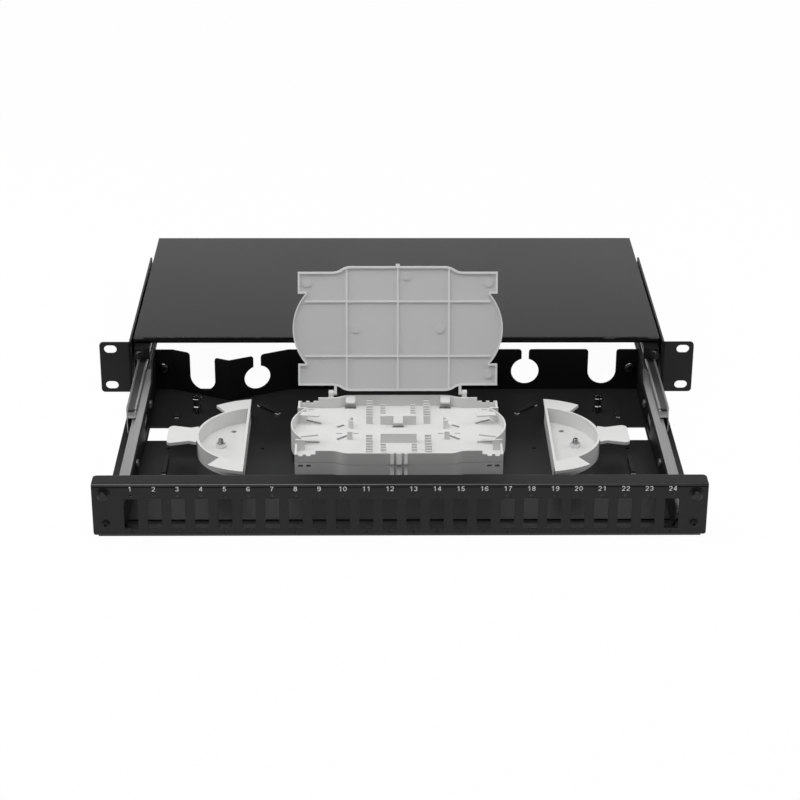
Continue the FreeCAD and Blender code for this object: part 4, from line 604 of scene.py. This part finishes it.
def number_mesh(number, strokes, height, relief):
    """Vertices and faces of one printed number, upright in X and Z about the origin.

    A stroke is a band along its path: the path plus and minus half the pen's width, square to its
    direction. Each stroke of a digit lies a hair in front of the one before it.
    """
    digits = [int(digit) for digit in str(number)]
    meshes = []
    for place, digit in enumerate(digits):
        across = DIGIT_STEP * (place - (len(digits) - 1) / 2) - DIGIT_WIDTH / 2
        for layer, stroke in enumerate(strokes[digit]):
            path = np.array(stroke, dtype=float)
            way = np.gradient(path, axis=0)
            way *= DIGIT_PEN / 2 / np.linalg.norm(way, axis=1, keepdims=True)
            left = np.stack([-way[:, 1], way[:, 0]], axis=1)
            band = np.concatenate([path - left, path + left]) + (across, -0.5)
            level = np.full(len(band), -relief * (1.0 + STROKE_STEP * layer))
            points = np.stack([band[:, 0] * DIGIT_STRETCH * height, level, band[:, 1] * height], axis=1)
            near = np.arange(len(path) - 1)
            far = near + len(path)
            meshes.append((points, np.stack([near, near + 1, far + 1, far], axis=1)))
    return joined(meshes)


class PANEL_OT_sheet_metal(bpy.types.Operator):
    """Powder coat on the housing, the brackets and the drawer"""

    bl_idname = "panel.sheet_metal"
    bl_label = "Sheet metal"

    def execute(self, context):
        colours = context.scene.panel_colours
        dress(powder_coat("satin_coat", colours.paint, gloss=0.18, roughness=0.22),
              "rack_bracket", "latch_plate")
        dress(powder_coat("matt_coat", colours.inside, gloss=0.16, roughness=0.5),
              "drawer_side", "drawer_rear")
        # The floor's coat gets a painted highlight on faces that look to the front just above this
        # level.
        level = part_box("drawer_side_left")[0][2]
        dress(powder_coat("floor_coat", colours.paint, gloss=0.34, roughness=0.34,
                          foot_highlight=(level, colours.bright)), "drawer_floor")
        for node, gloss, edge in (("housing_cover", 0.175, COVER_EDGE),
                                  ("front_panel", 0.26, SHEET_EDGE)):
            low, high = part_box(node)
            dress(powder_coat(node + "_coat", colours.paint, gloss, roughness=0.22,
                              fold=(low[1], high[2]), edge=edge), node)
        return {"FINISHED"}


class PANEL_OT_steel(bpy.types.Operator):
    """Zinc plate on the rails and cages, polish on the balls, black plating on the clamp posts"""

    bl_idname = "panel.steel"
    bl_label = "Steel"

    def execute(self, context):
        colours = context.scene.panel_colours
        dress(zinc_plate("rail_zinc", colours.steel), "slide_inner", "inner_cage", "outer_cage")
        dress(polished_steel("ball_steel", colours.bright), "inner_balls", "outer_balls")
        dress(zinc_plate("dull_zinc", colours.dull), "slide_outer")
        # The middle rails take painted shade down their ball tracks, between lighter edges.
        low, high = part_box("slide_middle_right")
        track_shade = (low[0] + TRACK_SHADE_INSET, high[0] - TRACK_SHADE_INSET, colours.grease)
        dress(zinc_plate("race_zinc", colours.steel, track_shade), "slide_middle")
        dress(blackened_steel("post_black", colours.blackened, metallic=1.0, roughness=0.08),
              "clamp_post")
        return {"FINISHED"}


class PANEL_OT_fasteners(bpy.types.Operator):
    """Recessed screws, threaded studs and bevelled nuts in place of the plain ones"""

    bl_idname = "panel.fasteners"
    bl_label = "Fasteners"

    def execute(self, context):
        sizes, colours = context.scene.panel_sizes, context.scene.panel_colours
        zinc = zinc_plate("screw_zinc", colours.screws)
        black = blackened_steel("screw_black", colours.blackened, metallic=1.0, roughness=0.05)
        flat = blackened_steel("flat_black", colours.flat_black, metallic=0.0, roughness=0.4)
        self.side_screws("bracket_screws", 1, sizes, flat, "housing", "black_paint")
        self.side_screws("rail_screws", -1, sizes, zinc, "drawer", "zinc_steel")
        self.front_screws("rear_wall_screws", sizes, black)
        self.front_screws("front_screws", sizes, flat)
        self.studs(sizes, black)
        self.nuts(zinc_plate("nut_zinc", colours.bright))
        self.clamp_screws(sizes, black)
        return {"FINISHED"}

    @staticmethod
    def replace(node, meshes, material, body, slot):
        """A new piece in the place of a plain one, on its body. The slot is not used."""
        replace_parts(new_piece(node + "_detail", meshes, material, body), node)

    def side_screws(self, node, outward, sizes, material, body, slot):
        """Two screws on each side along X, their heads outwards or inwards."""
        low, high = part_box(node)
        head, tall = (high[2] - low[2]) / 2, sizes.head_height
        if outward > 0:
            seat = high[0] - tall
            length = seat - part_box("slide_outer_right")[1][0]
        else:
            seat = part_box("drawer_rear_wall")[1][0]
            length = high[0] - seat
        rings = pan_rings(head, tall, PAN_SHANK * head, length, sizes.thread_pitch,
                          cross_reach(CROSS_ARM * head, CROSS_HALF * head))
        self.replace(node, [turned_mesh(rings, (side * seat, y, (low[2] + high[2]) / 2),
                                        (side * outward, 0, 0))
                            for side in (-1, 1) for y in (low[1] + head, high[1] - head)],
                     material, body, slot)

    def front_screws(self, node, sizes, material):
        """A screw at each end along Y with its head to the front."""
        low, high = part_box(node)
        head, tall = (high[2] - low[2]) / 2, sizes.head_height
        rings = pan_rings(head, tall, FRONT_SHANK, high[1] - low[1] - tall, sizes.thread_pitch,
                          hexagon_reach(SOCKET_FLATS * head))
        self.replace(node, [turned_mesh(rings, (x, low[1] + tall, (low[2] + high[2]) / 2), (0, -1, 0))
                            for x in (low[0] + head, high[0] - head)],
                     material, "drawer", "black_paint")

    def studs(self, sizes, material):
        """The two upright studs, threaded all the way with a bevelled end."""
        low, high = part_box("spool_studs")
        radius, tall = (high[1] - low[1]) / 2, high[2] - low[2]
        rings = thread_rings(radius, 0.0, STUD_THREAD * tall, sizes.thread_pitch)
        rings.append((STUD_END * radius, tall))
        self.replace("spool_studs", upright_pair(rings, (low, high), radius, low[2]),
                     material, "drawer", "black_paint")

    def nuts(self, material):
        """The two spool nuts: hexagons whose corners are bevelled above and below."""
        low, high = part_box("spool_nuts")
        flats, tall = high[1] - low[1], high[2] - low[2]
        corner = flats / math.sqrt(3.0)
        side, bevelled, bevel = hexagon_reach(flats), bevelled_reach(flats), NUT_BEVEL * tall
        rings = [(bevelled, 0.0), (side, bevel), (side, tall - bevel), (bevelled, tall)]
        self.replace("spool_nuts", upright_pair(rings, (low, high), corner, low[2]),
                     material, "drawer", "zinc_steel")

    def clamp_screws(self, sizes, material):
        """The two clamp screws: a round flange below a bevelled hexagon with a cross recess."""
        low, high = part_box("clamp_screws")
        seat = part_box("clamp_post_left")[1][2]
        flange, thick, top = (high[1] - low[1]) / 2, sizes.clamp_flange, high[2] - seat
        flats = sizes.clamp_flats
        side = hexagon_reach(flats)
        cross = cross_reach(CLAMP_ARM * flats, CLAMP_HALF * flats)
        rings = thread_rings(CLAMP_SHANK * flange, low[2] - seat, 0.0, sizes.thread_pitch)
        rings += [(flange, 0.0), (flange, CLAMP_RIM * thick), (CLAMP_EDGE * flange, thick)]
        rings += [(side, thick), (side, CLAMP_BEVEL * top), (bevelled_reach(flats), top)]
        rings += [(cross, top), (RECESS_TAPER * cross, CLAMP_FLOOR * top)]
        self.replace("clamp_screws", upright_pair(rings, (low, high), flange, seat),
                     material, "drawer", "black_paint")


class PANEL_OT_mouldings(bpy.types.Operator):
    """Plastic finishes of the spools, trays, splice cover and plungers"""

    bl_idname = "panel.mouldings"
    bl_label = "Mouldings"

    def execute(self, context):
        colours = context.scene.panel_colours
        dress(moulded_plastic("white_moulding", colours.moulding, roughness=0.34, grain_scale=1800.0,
                              spread=0.03), "fibre_spool", "splice_tray")
        dress(frosted_cover(colours.cover, colours.ribs), "splice_cover")
        dress(moulded_plastic("black_moulding", colours.plastic, roughness=0.3, grain_scale=1400.0,
                              spread=0.1), "plunger")
        return {"FINISHED"}


class PANEL_OT_port_numbers(bpy.types.Operator):
    """Numbers printed above the ports"""

    bl_idname = "panel.port_numbers"
    bl_label = "Port numbers"

    def execute(self, context):
        sizes, colours = context.scene.panel_sizes, context.scene.panel_colours
        low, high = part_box("front_panel")
        ports = [opening["box_m"] for opening in frame["record"]["physics"]["openings"]
                 if opening["name"].startswith("port_")]
        # The end ports' boxes stop at the drawer's sides, so the pitch comes from the ports next to them
        second, last = ((box[0][0] + box[1][0]) / 2 for box in (ports[1], ports[-2]))
        pitch = (last - second) / (len(ports) - 3)
        meshes, strokes = [], digit_strokes()
        for index in range(len(ports)):
            points, faces = number_mesh(index + 1, strokes, sizes.digit_height, sizes.digit_relief)
            middle = (second + (index - 1) * pitch, low[1], high[2] - sizes.digit_drop)
            meshes.append((points + middle, faces))
        new_piece("port_numbers", meshes, printing_ink(colours.print), "drawer")
        return {"FINISHED"}


def white_to_viewer(finish, dark, share, ceiling=0.0):
    """Emission of 1 to camera, glossy and transmission rays, mixed over another shader. In
    reflections it darkens by the ceiling, a share from 0 to 1."""
    camera, glossy, through = (finish.node("ShaderNodeLightPath", output=name)
                               for name in ("Is Camera Ray", "Is Glossy Ray", "Is Transmission Ray"))
    seen = (camera + glossy + through).limited()
    white = finish.node("ShaderNodeEmission", None,
                        {"Color": (1, 1, 1, 1), "Strength": 1.0 - glossy * ceiling})
    return finish.node("ShaderNodeMixShader", None, {0: seen * share, 1: dark, 2: white})


def add_lamp(name, power, place, aim, width, depth):
    """A soft rectangular lamp that points at a spot."""
    lamp = bpy.data.lights.new(name, "AREA")
    lamp.shape, lamp.size, lamp.size_y, lamp.energy = "RECTANGLE", width, depth, power
    carrier = bpy.data.objects.new(name, lamp)
    way = np.subtract(aim, place)
    pan = math.atan2(way[0], way[1])
    tilt = math.atan2(-way[2], math.hypot(way[0], way[1]))
    turn = Matrix.Rotation(-pan, 4, "Z") @ Matrix.Rotation(math.pi / 2 - tilt, 4, "X")
    carrier.matrix_world = Matrix.Translation(place) @ turn
    bpy.context.scene.collection.objects.link(carrier)


class PANEL_OT_stage(bpy.types.Operator):
    """Camera, lamps, sky and a pale floor"""

    bl_idname = "panel.stage"
    bl_label = "Stage"

    def execute(self, context):
        scene, stage = context.scene, context.scene.panel_stage
        scene.view_settings.view_transform = "Standard"
        self.add_camera(scene)
        self.add_floor(scene)
        self.add_sky(scene, stage.sky)
        add_lamp("key_lamp", stage.key, place=(-0.3, -0.35, 1.8), aim=(0, -0.05, 0),
                 width=1.8, depth=1.4)
        for side, name in ((-1, "left_lamp"), (1, "right_lamp")):
            add_lamp(name, stage.side, place=(side * 1.1, 0.0, 0.7), aim=(0, -0.1, 0),
                     width=0.6, depth=0.9)
        add_lamp("rear_lamp", stage.rear, place=(0.1, 1.6, 0.5), aim=(0, 0.1, 0),
                 width=2.0, depth=0.3)
        return {"FINISHED"}

    @staticmethod
    def add_camera(scene):
        """The photo's camera: yaw about Z, then pitch about X, then roll about the view."""
        camera = bpy.data.cameras.new("camera")
        camera.lens, camera.sensor_width = CAMERA_FOCAL, CAMERA_SENSOR
        camera.clip_end = CAMERA_REACH
        carrier = bpy.data.objects.new("camera", camera)
        turn = (Matrix.Rotation(math.radians(CAMERA_YAW), 4, "Z")
                @ Matrix.Rotation(math.radians(CAMERA_PITCH), 4, "X")
                @ Matrix.Rotation(math.radians(CAMERA_ROLL), 4, "Y")
                @ Matrix.Rotation(math.pi / 2, 4, "X"))
        carrier.matrix_world = Matrix.Translation(CAMERA_PLACE) @ turn
        scene.collection.objects.link(carrier)
        scene.camera = carrier

    @staticmethod
    def add_floor(scene):
        """A wide pale floor that looks white and keeps the panel's shadow."""
        reach, level = FLOOR_REACH, CAD_BOX[0][2]
        corners = [(-reach, -reach, level), (reach, -reach, level), (reach, reach, level),
                   (-reach, reach, level)]
        mesh = bpy.data.meshes.new("floor")
        mesh.from_pydata(corners, [], [(0, 1, 2, 3)])
        material = bpy.data.materials.new("pale_floor")
        finish = Finish(material)
        pale = finish.node("ShaderNodeBsdfDiffuse", None, {"Color": shaded([FLOOR_LIGHTNESS] * 3)})
        output = finish.tree.nodes["Material Output"]
        finish.feed(output.inputs["Surface"], white_to_viewer(finish, pale, FLOOR_WHITE))
        mesh.materials.append(material)
        floor = bpy.data.objects.new("floor", mesh)
        scene.collection.objects.link(floor)

    @staticmethod
    def add_sky(scene, strength):
        """Even studio light, white where it is seen, with a dim ceiling in reflections."""
        world = bpy.data.worlds.new("studio")
        scene.world = world
        finish = Finish(world)
        even = finish.tree.nodes["Background"]
        finish.feed(even.inputs["Color"], (1, 1, 1, 1))
        finish.feed(even.inputs["Strength"], strength)
        output = finish.tree.nodes["World Output"]
        height = finish.along(2) - BACKDROP_LEAN * finish.along(1)
        ceiling = CEILING_DIMMING * height.rise(BACKDROP_LOW, BACKDROP_HIGH - BACKDROP_LOW)
        sky = white_to_viewer(finish, Value(finish, even.outputs[0]), 1.0, ceiling)
        finish.feed(output.inputs["Surface"], sky)


OPERATORS = (PANEL_OT_sheet_metal, PANEL_OT_steel, PANEL_OT_fasteners, PANEL_OT_mouldings,
             PANEL_OT_port_numbers, PANEL_OT_stage)


class PANEL_PT_sidebar(bpy.types.Panel):
    """Lists the operators and their settings in the sidebar"""

    bl_idname = "PANEL_PT_sidebar"
    bl_label = "Patch panel"
    bl_space_type = "VIEW_3D"
    bl_region_type = "UI"
    bl_category = "Patch panel"

    def draw(self, context):
        for operator in OPERATORS:
            self.layout.operator(operator.bl_idname)
        for settings in (context.scene.panel_colours, context.scene.panel_sizes,
                         context.scene.panel_stage):
            for name in settings.__annotations__:
                self.layout.prop(settings, name)


SETTINGS = {"panel_colours": PanelColours, "panel_sizes": PanelSizes, "panel_stage": PanelStage}


def register():
    for name, group in SETTINGS.items():
        bpy.utils.register_class(group)
        setattr(bpy.types.Scene, name, bpy.props.PointerProperty(type=group))
    for operator in OPERATORS:
        bpy.utils.register_class(operator)
    bpy.utils.register_class(PANEL_PT_sidebar)


def unregister():
    bpy.utils.unregister_class(PANEL_PT_sidebar)
    for operator in reversed(OPERATORS):
        bpy.utils.unregister_class(operator)
    for name, group in SETTINGS.items():
        delattr(bpy.types.Scene, name)
        bpy.utils.unregister_class(group)


def main():
    register()
    bpy.ops.panel.sheet_metal()
    bpy.ops.panel.steel()
    bpy.ops.panel.fasteners()
    bpy.ops.panel.mouldings()
    bpy.ops.panel.port_numbers()
    bpy.ops.panel.stage()


if __name__ == "__main__":
    main()
